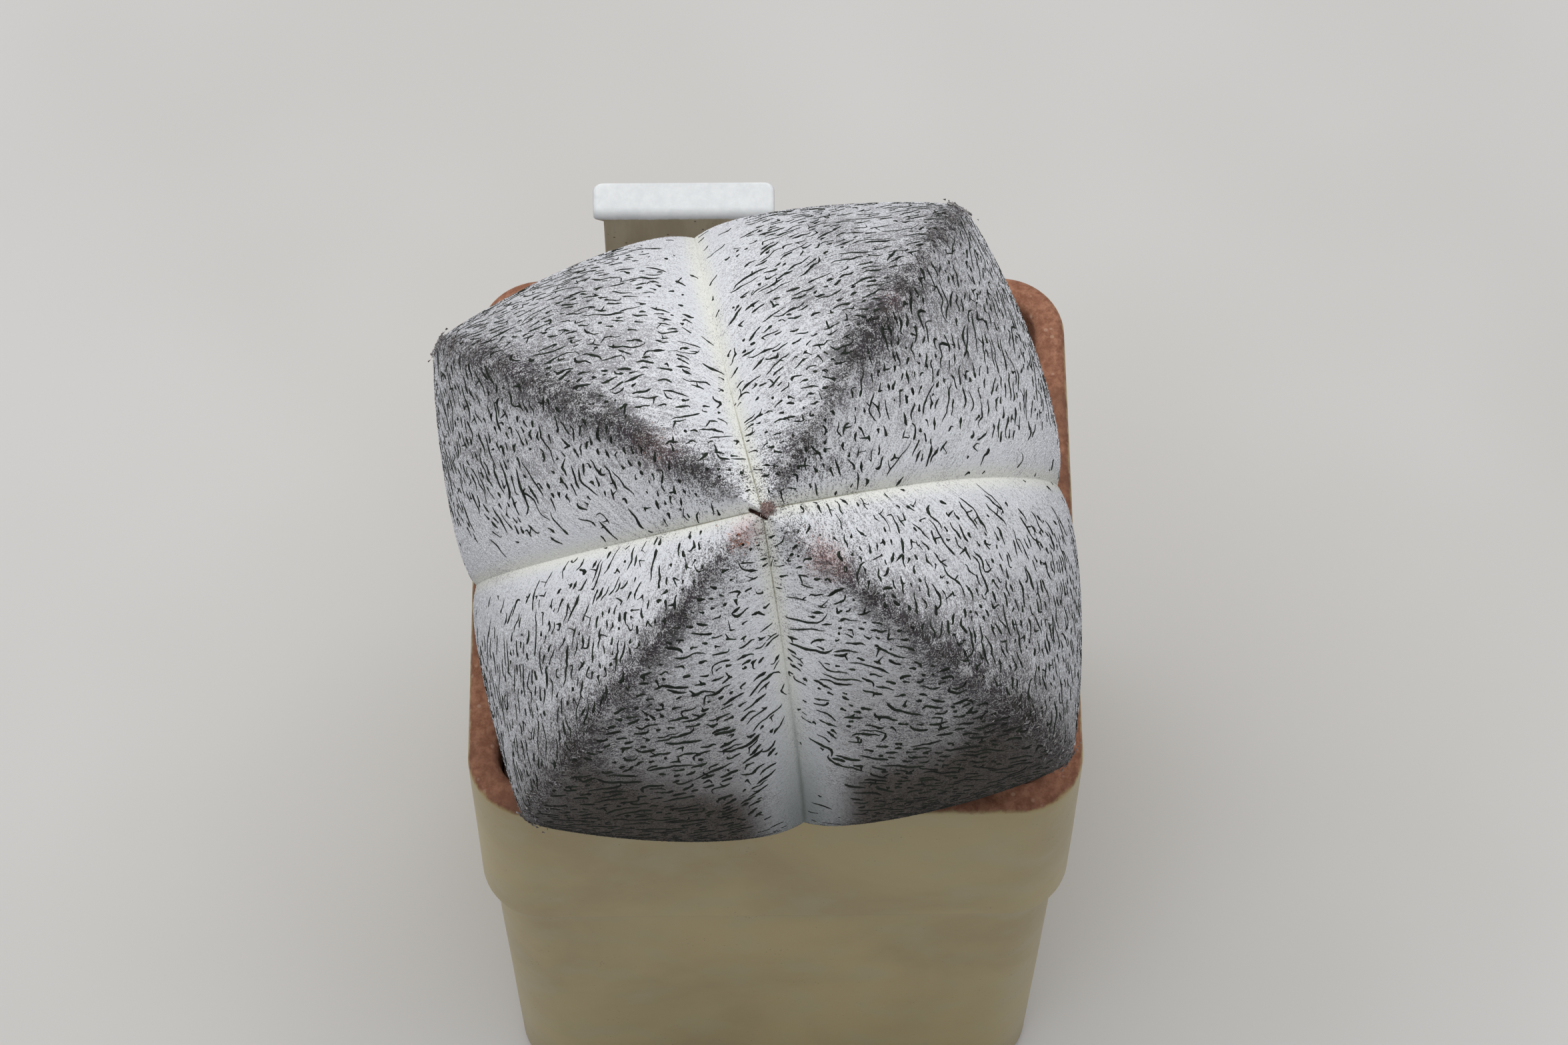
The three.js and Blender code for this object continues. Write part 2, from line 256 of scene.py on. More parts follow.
def lip_arc(half, height, radius, start, end, inset, bare):
    """Rows of the pot's profile along an arc: half width, corner radius, height, and bareness from first to
    last."""
    angle = np.radians(np.linspace(start, end, ARC_STEPS))
    reach = half + radius * np.cos(angle)
    height = height + radius * np.sin(angle)
    return np.stack([reach, reach - inset, height, np.linspace(*bare, ARC_STEPS)], -1)


def straight_rows(profile, longest):
    """The same profile with points added so that no two are farther apart than longest."""
    rows = [profile[:1]]
    for first, second in zip(profile[:-1], profile[1:]):
        count = max(1, math.ceil(np.hypot(*(second - first)[[0, 2]]) / longest))
        rows.append(first + (second - first) * np.arange(1, count + 1)[:, None] / count)
    return np.concatenate(rows)


def pot_grid():
    """The pot's places and bareness. Each row is a rounded square of the profile's half width, and each
    point is drawn in towards the pot's axis by the clay's slight waviness."""
    shoulder = POT_HEIGHT - COLLAR_DEPTH
    neck = POT_HALF - COLLAR_PROUD
    straight = POT_HALF - POT_CORNER
    base_straight = BASE_HALF - POT_CORNER
    cavity_top = POT_HALF - WALL
    cavity_base = BASE_HALF - WALL
    rim = POT_HEIGHT - LIP_ROUND
    profile = np.concatenate([
        lip_arc(BASE_HALF - BASE_ROUND, BASE_ROUND, BASE_ROUND, -90, 0, base_straight, (1.0, 0.3)),
        [[BASE_HALF, POT_CORNER, GLAZE_EDGE, 0.0]],
        [[neck, neck - straight, shoulder - COLLAR_PROUD, 0.0]],
        lip_arc(POT_HALF - LIP_ROUND, shoulder + LIP_ROUND, LIP_ROUND, -60, 0, straight, (0.36, 0.3)),
        [[POT_HALF, POT_CORNER, shoulder + LIP_ROUND + GLAZE_EDGE, 0.0]],
        [[POT_HALF, POT_CORNER, rim - GLAZE_EDGE, 0.0]],
        lip_arc(POT_HALF - LIP_ROUND, rim, LIP_ROUND, 0, 90, straight, (0.36, 0.9)),
        lip_arc(cavity_top + LIP_ROUND, rim, LIP_ROUND, 90, 180, straight, (0.9, 1.0)),
        [[cavity_base, cavity_base - base_straight, FLOOR, 1.0]],
    ])
    profile = straight_rows(profile, LONGEST_FACE)
    corner_steps = np.linspace(0, 0.5, 15)[:-1]
    side_steps = np.linspace(0.5, 1, 13)[:-1]
    around = np.concatenate([side + np.concatenate([corner_steps, side_steps]) for side in range(4)])
    half, corner, height, bare = (profile[:, i, None] + 0 * around for i in range(4))
    x, y = square_ring(around + 0 * half, half, corner)
    noise = drift(np.stack([x, y, height], -1), CLAY_WAVE_CELL, 3)
    wave = 1 - CLAY_WAVE / POT_HALF * (0.5 + 0.5 * noise)
    return np.stack([x * wave, y * wave, height], -1), bare


def pot_material():
    """Khaki glaze over red clay: mottled where it runs thick, thin on edges, with iron specks and
    pinholes."""
    material, wire = new_material("khaki_glaze_on_clay")
    place = wire.objects()
    bare = wire.attribute("bare")
    ragged = place.noise(420.0, 5.0, 0.7)
    cover = (bare + (ragged - 0.5) * 0.45).step(0.62, 0.42)
    cloud = place.noise(38.0, 4.0, 0.55, 0.6)
    streak = place.noise(150.0, 3.0, 0.5)
    specks = place.cells(1400.0).step(0.16, 0.05) * place.noise(260.0, 2.0).step(0.52, 0.66)
    glaze = cloud.step(0.32, 0.68).blend((0.41, 0.315, 0.135, 1), (0.515, 0.41, 0.185, 1))
    glaze = (streak.step(0.45, 0.75) * 0.45).blend(glaze, (0.44, 0.40, 0.23, 1))
    glaze = (specks * 0.75).blend(glaze, (0.10, 0.055, 0.03, 1))
    grain = place.noise(900.0, 6.0, 0.75)
    clay = grain.step(0.35, 0.68).blend((0.22, 0.085, 0.045, 1), (0.40, 0.19, 0.115, 1))
    clay = (place.cells(700.0).step(0.22, 0.1) * 0.5).blend(clay, (0.55, 0.36, 0.26, 1))
    clay = place.noise(60.0).step(0.48, 0.72).blend(clay, (0.17, 0.075, 0.045, 1))
    height = (1 - cover) * grain * 0.8 + cover * (place.noise(520.0, 3.0) * 0.35 + 0.65) - specks * 0.15
    wire.surface({
        "Base Color": cover.blend(clay, glaze),
        "Roughness": 0.88 - cover * (0.42 - cloud * 0.12),
        "Coat Weight": cover * 0.35,
        "Coat Roughness": 0.22,
        "Normal": wire.bump(height, 0.25 * MM, 0.8),
    })
    return material


def drill_drains(piece):
    """Takes a ring of straight drain holes out of the floor: a Boolean difference, applied to the mesh."""
    cutter = bpy.data.meshes.new("drain_cutter")
    steps = 40
    angle = np.arange(steps) * 2 * math.pi / steps
    circle = np.stack([np.cos(angle), np.sin(angle)], -1) * DRAIN_RADIUS
    places, faces = [], []
    for number, (x, y) in enumerate(itertools.product((-DRAIN_REACH, DRAIN_REACH), repeat=2)):
        for z in (-FLOOR, 3 * FLOOR):
            places.append(np.column_stack([circle + (x, y), np.full(steps, z)]))
        first = 2 * steps * number
        faces += (grid_faces(2, steps, True) + first).tolist()
        low_cap = list(range(first + steps - 1, first - 1, -1))
        high_cap = list(range(first + steps, first + 2 * steps))
        faces += [low_cap, high_cap]
    cutter.from_pydata(np.concatenate(places).tolist(), [], faces)
    tool = bpy.data.objects.new("drain_cutter", cutter)
    bpy.context.scene.collection.objects.link(tool)
    cut = piece.modifiers.new("drains", "BOOLEAN")
    cut.operation = "DIFFERENCE"
    cut.object = tool
    cut.solver = "EXACT"
    drilled = bpy.data.meshes.new_from_object(piece.evaluated_get(bpy.context.evaluated_depsgraph_get()))
    piece.modifiers.clear()
    piece.data = drilled
    bpy.data.objects.remove(tool)


pot_places, pot_bare = pot_grid()
pot_rows, pot_columns = pot_bare.shape
foot_middle, floor_middle = pot_bare.size, pot_bare.size + 1
pot_ring = np.arange(pot_columns)
pot_next = (pot_ring + 1) % pot_columns
inner_ring = (pot_rows - 1) * pot_columns
pot = add_piece(
    "glazed_pot",
    np.concatenate([pot_places.reshape(-1, 3), [[0, 0, 0], [0, 0, FLOOR]]]),
    [
        grid_faces(pot_rows, pot_columns, True),
        np.stack([pot_next, pot_ring, 0 * pot_ring + foot_middle], -1),
        np.stack([inner_ring + pot_ring, inner_ring + pot_next, 0 * pot_ring + floor_middle], -1),
    ],
    pot_material(),
    {"bare": np.append(pot_bare.ravel(), [1.0, 1.0])},
)
drill_drains(pot)
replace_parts(pot, "pot")


# The plant's skin: a fleshy body of four ribs, green under its felt, which leans to the light. It grew as
# one piece: a sphere's grid carried out to the crests and in to the furrows, from the sunken apex down to
# the root.
SOIL_LEVEL = POT_HEIGHT - 5 * MM
FOOT_X = -1.9 * MM
LEAN_FORWARD = 23
LEAN_RIGHT = 0.3
TURN = 55.4
WAIST_HEIGHT = 39.5 * MM
CREST_RADIUS = 40.6 * MM
CROWN_HEIGHT = 28.9 * MM
ROOT_DEPTH = 56.5 * MM
CROWN_FULLNESS = 2.1
ROOT_FULLNESS = 1.7
ROOT_TAPER = 1.2
FURROW_DEPTH = 7.9 * MM
FURROW_RISE = 0.3
BASE_SHALLOWING = 1.5
CREASE_SHARE = 0.14
CREASE_WIDTH = 0.1
FLANK_SWELL = 0.1
SHOULDER = 0.8
CREST_SOFTNESS = 0.045
CREST_STRAY = np.array([[2.9, 3.7, -4.2, -4.7], [2.3, 4.6, -4.3, -2.5]])
FURROW_STRAY = np.array([[3.4, 0.4, -1.3, 2.1], [2.0, 0.7, -2.1, -2.3]])
CREST_GROWTH = np.array([0.024, 0, -0.006, 0.032])
FURROW_GROWTH = np.array([0.002, -0.039, -0.016, 0.005])
FELT_DEPTH = 0.38 * MM
FLANKS = 8
QUARTER = math.pi / 2
EIGHTH = math.pi / 4

# Where the felt is worn off each crest, as distance from the apex, half length and half width in
# millimetres, and how bare: a first streak by the apex, and patches further out
STREAKS = [
    [(6, 4, 1.3, 1.0), (13, 4, 1.6, 0.5), (22, 5, 2.8, 1.0), (31, 4, 2.6, 0.6), (43, 6, 2.4, 0.5)],
    [(8, 4, 1.6, 0.5), (16, 5, 2.0, 1.0), (24, 5, 2.6, 1.0), (35, 6, 2.6, 0.9), (46, 5, 2.4, 0.4)],
    [(9, 4, 1.1, 0.7), (16, 6, 1.6, 1.0), (25, 6, 2.3, 1.0), (34, 7, 2.8, 0.9), (46, 6, 2.6, 0.5)],
    [(12, 4, 1.4, 0.6), (18, 5, 1.8, 1.0), (27, 6, 2.3, 1.0), (36, 6, 2.8, 0.85), (47, 6, 2.6, 0.4)],
]
# How bare a streak's middle is, and how that is shared between its core and the haze twice as broad
STREAK_BARES = 0.85
STREAK_CORE = 0.83
STREAK_HAZE = 0.17
# Rust-pink young wool on each crest: how far from the apex, how wide, and how strong
BLOOMS = [(27, 1.4, 0.15), (13, 2.0, 0.25), (3.0, 1.5, 0.7), (8.5, 2.1, 0.75)]
# The pit beside the apex, from one end to the other on the plant's own axes
PIT = np.array([[-1.15, 0.0], [0.43, -0.8]]) * MM
PIT_WIDTH = 0.2 * MM
PIT_DEPTH = 0.45 * MM
# How thin the felt is by the apex, how much less so on the front, and further out. The pairs give where
# along the plant, or off a furrow, a change starts and how far it takes
NEAR_THIN = 0.56
NEAR_THIN_LESS_IN_FRONT = 0.16
NEAR_THIN_FULL = 7 * MM
FAR_THIN = 0.62
FAR_THIN_TAKES_OVER = 12 * MM, 18 * MM
FAR_THIN_EASES = 36 * MM, 15 * MM
CREST_THIN = 0.33
CREST_THIN_WIDTH = 1.2 * MM
CREST_THIN_FULL = 12 * MM
# The front's hair greyed as painted shade, and the green of its furrow
FRONT_FURROW = 2
FRONT_SHADE_ALONG = 13 * MM, 15 * MM
FRONT_SHADE_OFF_FURROW = 1.5 * MM, 6 * MM
MOSS_ALONG = 10 * MM, 37 * MM
MOSS_WIDTH = 4.5 * MM
# Old growth, and painted shade on the front: brown on the front from a length on the crest and one in the
# furrow, save a pale strip along the furrow, and all round by the soil from a height, with how far down it
# takes to be wholly brown
FRONT_AGE_AND_SHADE_FROM = 27 * MM, 31 * MM
FRONT_AGE_AND_SHADE_REACH = 11 * MM
PALE_STRIP = 3.5 * MM, 2.6 * MM
PALE_STRIP_NARROWS = 32 * MM, 16 * MM
PALE_STRIP_EDGE = 5 * MM
FOOT_AGED_TOP = 108 * MM
FOOT_AGED_REACH = 24 * MM
# The felt's grain sweeps down and outwards from each furrow, and lies nearly square to it by the apex
BARB_SLOPE = 0.42
BARB_RISE = 1.0
BARB_REACH = 3.5 * MM
BARB_START = 24 * MM
BARB_LEAST = 0.1
COMB_WIDE = 1.1 * MM
COMB_LONG = 0.3 * MM


def ease(share):
    """The smooth step from 0 to 1."""
    share = np.clip(share, 0, 1)
    return share * share * (3 - 2 * share)


def grows(value, start, reach):
    """The smooth step from 0 at a start to 1 a reach beyond it."""
    return ease((value - start) / reach)


def bell(far, reach):
    """The bell curve: 1 at no distance, and a little over a third at a reach."""
    return np.exp(-((far / reach) ** 2))


def mix(first, second, share):
    """Straight from first to second."""
    return first + (second - first) * share


def crest_profile(polar):
    """Radius and height of the crest at an angle from the apex: a superellipse, low above the waist and
    long below."""
    above = polar < QUARTER
    height = np.where(above, CROWN_HEIGHT, -ROOT_DEPTH)
    outward = np.where(above, CROWN_FULLNESS, ROOT_TAPER)
    upward = np.where(above, CROWN_FULLNESS, ROOT_FULLNESS)
    radius = CREST_RADIUS * np.abs(np.sin(polar)) ** (2 / outward)
    return radius, height * np.abs(np.cos(polar)) ** (2 / upward)


def flank_drop(polar, share):
    """How far a flank lies below the crest, as a share of the furrow's depth: near the apex the sine of the
    turn from the crest, at the waist nearly a flat side, and in the last tenth the crease's exponential."""
    angle = share * EIGHTH
    near_apex = np.sin(angle) / np.sin(EIGHTH)
    straight = (1 - np.cos(EIGHTH) / np.cos(EIGHTH - angle)) / (1 - np.cos(EIGHTH))
    at_waist = mix(straight, share, FLANK_SWELL)
    flank = mix(near_apex, at_waist, ease(polar / QUARTER / SHOULDER))
    return mix(flank, np.exp((share - 1) / CREASE_WIDTH), CREASE_SHARE)


def stance():
    """The waist's place and the plant's own axes: up is tipped from the vertical by the two leans."""
    up = np.array([math.sin(math.radians(LEAN_RIGHT)), -math.sin(math.radians(LEAN_FORWARD)), 0.0])
    up[2] = math.sqrt(1 - up @ up)
    right = np.cross([0, 1, 0], up)
    right /= np.linalg.norm(right)
    back = np.cross(up, right)
    waist = np.array([FOOT_X, 0, SOIL_LEVEL]) + up * WAIST_HEIGHT
    return waist, np.stack([right, back, up])


def skin(turn, polar, lift=0.0):
    """A point of the skin. turn runs from 0 to 8 round the plant, with crests at even numbers and furrows
    at odd ones. The crest's profile is lowered square to itself by the furrow's depth times the flank's
    drop, less lift, and turned about the axis by the rib's place and stray."""
    turn, polar = np.broadcast_arrays(turn, polar)
    rib = np.rint(turn / 2).astype(int)
    across = turn - 2 * rib
    share = np.abs(across)
    rib = rib % 4
    furrow = np.where(across > 0, rib, (rib + 3) % 4)
    nudge = 1e-3
    radius, height = crest_profile(polar)
    before = crest_profile(np.maximum(polar - nudge, 1e-4))
    after = crest_profile(np.minimum(polar + nudge, math.pi - 1e-4))
    along = np.stack([after[0] - before[0], after[1] - before[1]])
    along = along / np.linalg.norm(along, axis=0)
    below = np.clip((polar - QUARTER) / QUARTER, 0, 1)
    depth = FURROW_DEPTH * (1 - np.exp(-polar / FURROW_RISE)) * (1 - below**BASE_SHALLOWING)
    soft = np.hypot(share, CREST_SOFTNESS) - CREST_SOFTNESS * (1 - share)
    drop = depth * flank_drop(polar, np.minimum(soft, 1)) - lift
    down = np.minimum(polar / QUARTER, 1)
    crest_stray = mix(CREST_STRAY[0][rib], CREST_STRAY[1][rib], ease(down))
    furrow_stray = mix(FURROW_STRAY[0][furrow], FURROW_STRAY[1][furrow], ease(down))
    azimuth = np.radians(TURN + 90 * rib + 45 * across + mix(crest_stray, furrow_stray, share))
    growth = 1 + down * mix(CREST_GROWTH[rib], FURROW_GROWTH[furrow], ease(share))
    reach = np.maximum(growth * (radius + along[1] * drop), 0)
    waist, axes = stance()
    local = np.stack([reach * np.cos(azimuth), reach * np.sin(azimuth), height - along[0] * drop], -1)
    return waist + local @ axes


def meridian_table():
    """Polar angles, and the length of the crest's profile from the apex to each, by summing its short
    chords."""
    polar = np.linspace(0, math.pi, 1600)
    radius, height = crest_profile(polar)
    steps = np.hypot(np.diff(radius), np.diff(height))
    return polar, np.concatenate([[0], np.cumsum(steps)])


def flank_tables():
    """For each flank, its length from crest to furrow at a list of polar angles, and how that length builds
    up with the share of the way, taken where the shoulder is fullest."""
    polar = np.linspace(0.02, math.pi - 0.3, 80)
    share = np.linspace(0, 1, 61)
    lengths, builds = [], []
    for flank in range(FLANKS):
        turn = flank + (share if flank % 2 == 0 else 1 - share)
        chords = np.linalg.norm(np.diff(skin(turn[None, :], polar[:, None]), axis=1), axis=-1)
        lengths.append(chords.sum(1))
        build = np.concatenate([[0], np.cumsum(chords[35])])
        builds.append(build / build[-1])
    return polar, np.array(lengths), share, np.array(builds)


MERIDIAN_POLAR, MERIDIAN_LENGTH = meridian_table()
FLANK_POLAR, FLANK_LENGTH, FLANK_SHARE, FLANK_BUILD = flank_tables()


def polar_at(length):
    """The polar angle at a length along the meridian from the apex."""
    return np.interp(length, MERIDIAN_LENGTH, MERIDIAN_POLAR)


def flank_place(flank, off_furrow, length):
    """Turn, polar angle and flank length for a point given by its flank, its distance from the furrow along
    the latitude and its distance from the apex along the meridian."""
    polar = polar_at(length)
    turn, wide = np.zeros(np.shape(polar)), np.zeros(np.shape(polar))
    flank = np.broadcast_to(flank, polar.shape)
    for number in range(FLANKS):
        here = flank == number
        wide[here] = np.interp(polar[here], FLANK_POLAR, FLANK_LENGTH[number])
        built = 1 - np.broadcast_to(off_furrow, polar.shape)[here] / wide[here]
        share = np.interp(built, FLANK_BUILD[number], FLANK_SHARE)
        turn[here] = number + (share if number % 2 == 0 else 1 - share)
    return turn, polar, wide


def barb_slope(off_furrow, length):
    """How steeply the felt's grain runs down the plant, like a feather's barbs: a steady slope and a
    steeper one that dies away from the furrow, both growing with the distance from the apex."""
    steep = BARB_SLOPE + BARB_RISE * np.exp(-off_furrow / BARB_REACH)
    return ease(length / BARB_START) * steep + BARB_LEAST


def barb_shift(off_furrow, length):
    """How far down the grain has swept at a distance from its furrow: the slope summed up from the
    furrow."""
    swept = BARB_SLOPE * off_furrow + BARB_RISE * BARB_REACH * (1 - np.exp(-off_furrow / BARB_REACH))
    return ease(length / BARB_START) * swept + BARB_LEAST * off_furrow


def off_pit(place):
    """Distance from the pit's line, on the plant's own axes."""
    waist, axes = stance()
    flat = ((place - waist) @ axes.T)[..., :2] - PIT[0]
    line = PIT[1] - PIT[0]
    share = np.clip(flat @ line / (line @ line), 0, 1)
    return np.linalg.norm(flat - share[..., None] * line, axis=-1)


def streak_marks(rib, length, off_crest, wander):
    """How bare the streaks lay each crest, and how strong its young wool is, both from 0 to 1. A streak is
    a bell along and across the crest with a fainter one round it, the wool is a steep round bell, and noise
    moves their edges."""
    bare, bloom = np.zeros(rib.shape), np.zeros(rib.shape)
    for number in range(4):
        here = (rib == number).astype(float)
        for middle, long, broad, strength in STREAKS[number]:
            along = (length - middle * MM) / (long * MM)
            core = np.exp(-(along**2) - (off_crest / (broad * MM) + 0.3 * wander) ** 2)
            haze = np.exp(-((0.8 * along) ** 2) - (off_crest / (2 * broad * MM) + 0.3 * wander) ** 2)
            bare = 1 - (1 - bare) * (1 - here * strength * (STREAK_CORE * core + STREAK_HAZE * haze))
        middle, broad, strength = BLOOMS[number]
        far = np.hypot(length - middle * MM, off_crest) / (broad * MM) + 0.3 * wander
        bloom = np.maximum(bloom, here * strength * np.exp(-0.8 * np.maximum(far, 0) ** 2.5))
    return bare, bloom


def thinned_felt(front, dusk, share, length, off_crest, wander):
    """How thin the felt is apart from its streaks, from 0 to 1: by the apex it thins steadily from furrow
    to crest, further out it is thin over most of the flank, and it is thinnest in a line along the
    crest."""
    near = (NEAR_THIN - NEAR_THIN_LESS_IN_FRONT * front) * (1 - share) ** 0.8 * ease(length / NEAR_THIN_FULL)
    far = FAR_THIN * ease((1 - share) / 0.6) * (1 - 0.2 * grows(length, *FAR_THIN_EASES))
    thin = mix(near, far, grows(length, *FAR_THIN_TAKES_OVER))
    thin = thin + CREST_THIN * np.exp(-off_crest / CREST_THIN_WIDTH) * ease(length / CREST_THIN_FULL)
    return np.clip(thin * (1 - 0.3 * dusk) + 0.07 * wander, 0, 1)


def old_growth_and_front_shade(front, rib, share, length, off_crest, off_furrow, height, wander):
    """How brown the felt is, from 0 to 1: with age and painted shade on the flanks that face the front, from
    a length that grows from crest to furrow, paler on the crest and along the furrow, and with age all round
    below a height."""
    brown_from = mix(*FRONT_AGE_AND_SHADE_FROM, share) - 2 * MM * wander
    strip = mix(*PALE_STRIP, grows(length, *PALE_STRIP_NARROWS))
    # The brown on the flanks that face the front is partly painted shade.
    faces_front = np.where(front, 1, (rib >= 2) * np.exp(-off_crest / (2.5 * MM)))
    pale_crest = 1 - 0.5 * np.exp(-off_crest / (1.5 * MM))
    aged = grows(length, brown_from, FRONT_AGE_AND_SHADE_REACH) * grows(off_furrow, strip, PALE_STRIP_EDGE)
    aged = aged * faces_front * pale_crest
    return np.maximum(aged, ease((FOOT_AGED_TOP - height + 3 * MM * wander) / FOOT_AGED_REACH))


def surface_marks(turn, polar):
    """What the felt's wear and tint follow, by name. From 0 to 1 are wear, how far the felt is thinned or
    worn off, dusk, painted shade that greys the front's hair, bloom, the young rust-pink wool,
    aged, the brown old growth and the painted shade on the front's lower flanks, moss, the green of
    the front furrow, and pit, the apex's hollow, darkened as painted shade. off_furrow, and length, the
    distance from the apex, are in metres. comb is the way from the crest and the way down the barbs, drawn
    out along the barbs so that noise read there runs with them."""
    turn, polar = np.broadcast_arrays(turn, polar)
    rib = np.rint(turn / 2).astype(int)
    across = turn - 2 * rib
    share = np.abs(across)
    front = np.floor(turn / 2).astype(int) % 4 == FRONT_FURROW
    rib = rib % 4
    length = np.interp(polar, MERIDIAN_POLAR, MERIDIAN_LENGTH)
    wide = np.interp(polar, FLANK_POLAR, FLANK_LENGTH.mean(0))
    off_crest, off_furrow = share * wide, (1 - share) * wide
    place = skin(turn, polar)
    wander = drift(place, 3.5 * MM, 11) + 0.6 * drift(place, 1.3 * MM, 12)
    bare, bloom = streak_marks(rib, length, off_crest, wander)
    # Painted shade: the front's hair is greyed.
    dusk = front * grows(length, *FRONT_SHADE_ALONG) * grows(off_furrow, *FRONT_SHADE_OFF_FURROW)
    thin = thinned_felt(front, dusk, share, length, off_crest, wander)
    wear = 1 - (1 - thin) * (1 - STREAK_BARES * bare)
    aged = old_growth_and_front_shade(front, rib, share, length, off_crest, off_furrow, place[..., 2], wander)
    moss = front * grows(length, *MOSS_ALONG) * bell(off_furrow, MOSS_WIDTH)
    # The pit's mark, which the skin's colour darkens as painted shade in the hollow
    pit = np.maximum(bell(off_pit(place), PIT_WIDTH), 0.25 * bell(length, 1.2 * MM))
    down = length - barb_shift(off_furrow, length)
    comb = np.stack([np.sign(across) * off_crest / COMB_WIDE, down / COMB_LONG, 0 * down], -1)
    marks = dict(wear=wear, dusk=dusk, bloom=bloom, aged=aged, moss=moss, pit=pit)
    return dict(marks, off_furrow=off_furrow, length=length, comb=comb)


def skin_material():
    """Dark green skin under its undercoat of felt, seen between flecks of white hair laid along the grain.
    The flecks are close by the furrows and sparse on the near-black worn crests. Their hair is greyed on
    the front as painted shade, green in its furrow, brown on old growth and, as painted shade, on the front's
    lower flanks, smooth ivory along the creases, and darkened in the apex's pit as painted shade."""
    material, wire = new_material("felted_green_skin")
    place = wire.objects()
    wear, dusk, bloom = (wire.attribute(name) for name in ("wear", "dusk", "bloom"))
    aged, moss, pit = (wire.attribute(name) for name in ("aged", "moss", "pit"))
    off_furrow = wire.attribute("off_furrow") * (1 / MM)
    length = wire.attribute("length") * (1 / MM)
    comb = wire.attribute("comb", 1).noise(1.0, 3.0, 0.6)
    fleck = place.noise(6500.0, 3.0, 0.62, 0.5) * 0.7 + comb * 0.3
    soft = place.noise(450.0, 3.0)
    cloud = place.noise(160.0, 3.0)
    patch = place.noise(800.0, 2.0)
    level = 0.41 + wear * (0.14 + (patch - 0.5) * 0.3) + (cloud - 0.5) * 0.25
    white = (fleck - level).step(-0.07, 0.08)
    hair = cloud.step(0.35, 0.65).blend((0.725, 0.74, 0.78, 1), (0.805, 0.82, 0.855, 1))
    hair = (comb.step(0.62, 0.38) * 0.2).blend(hair, (0.50, 0.50, 0.53, 1))
    hair = wear.step(0.45, 1.1).blend(hair, (0.50, 0.495, 0.515, 1))
    # Painted shade: greyer hair on the front
    hair = (dusk * 0.8).blend(hair, (0.40, 0.395, 0.405, 1))
    hair = ((off_furrow + (soft - 0.5) * 0.8).step(2.2, 0.0) * (1 - moss)).blend(hair, (0.79, 0.795, 0.75, 1))
    hair = (moss * 0.9).blend(hair, (0.235, 0.265, 0.26, 1))
    hair = (bloom * 0.75).blend(hair, (0.60, 0.43, 0.42, 1))
    # Brown old growth, and painted shade on the front's lower flanks
    hair = (aged * 0.95).blend(hair, (0.105, 0.09, 0.078, 1))
    under = soft.step(0.4, 0.62).blend((0.040, 0.034, 0.040, 1), (0.038, 0.036, 0.034, 1))
    under = (wear.step(0.98, 0.4) * length.step(2.0, 20.0)).blend(under, (0.35, 0.345, 0.365, 1))
    # Painted shade: a darker undercoat on the front
    under = (dusk * 0.85).blend(under, (0.07, 0.065, 0.07, 1))
    # Brown old growth, and painted shade on the front's lower flanks
    under = (aged * 0.9).blend(under, (0.034, 0.028, 0.023, 1))
    under = (bloom * 0.6).blend(under, (0.24, 0.12, 0.11, 1))
    colour = white.blend(under, hair)
    crease = (off_furrow + (soft - 0.5) * 0.12).step(0.14, 0.02) * (length.step(24.0, 4.0) * 0.5 + 0.12)
    colour = crease.blend(colour, (0.20, 0.19, 0.11, 1))
    green_line = moss * (off_furrow + (soft - 0.5) * 0.3).step(0.5, 0.05) * 0.6
    colour = green_line.blend(colour, (0.15, 0.19, 0.17, 1))
    # Painted shade: the apex's pit and hollow darkened
    colour = pit.step(0.12, 0.6).blend(colour, (0.035, 0.016, 0.012, 1))
    wire.surface({
        "Base Color": colour,
        "Roughness": 0.92,
        "Specular IOR Level": 0.2,
        "Normal": wire.bump(fleck, 0.12 * MM, 0.7),
    })
    return material


def skin_rows():
    """Polar angles of the rows: close by the apex, even steps along the meridian down to the soil, then
    wide ones to the root's tip."""
    buried = WAIST_HEIGHT + 12 * MM
    below = MERIDIAN_POLAR > QUARTER
    last = np.interp(buried, -crest_profile(MERIDIAN_POLAR[below])[1], MERIDIAN_POLAR[below])
    length = np.interp(last, MERIDIAN_POLAR, MERIDIAN_LENGTH)
    shown = polar_at(np.concatenate([np.arange(1, 16) * 0.2 * MM, np.linspace(3.4 * MM, length, 150)]))
    return np.concatenate([shown, np.linspace(shown[-1], math.pi, 9)[1:-1]])


def pitted_skin(turn, polar):
    """The skin less the felt's depth, and sunk along the pit's line by a bell of its depth."""
    plain = skin(turn, polar, -FELT_DEPTH)
    _, axes = stance()
    return plain - PIT_DEPTH * bell(off_pit(plain), PIT_WIDTH)[..., None] * axes[2]


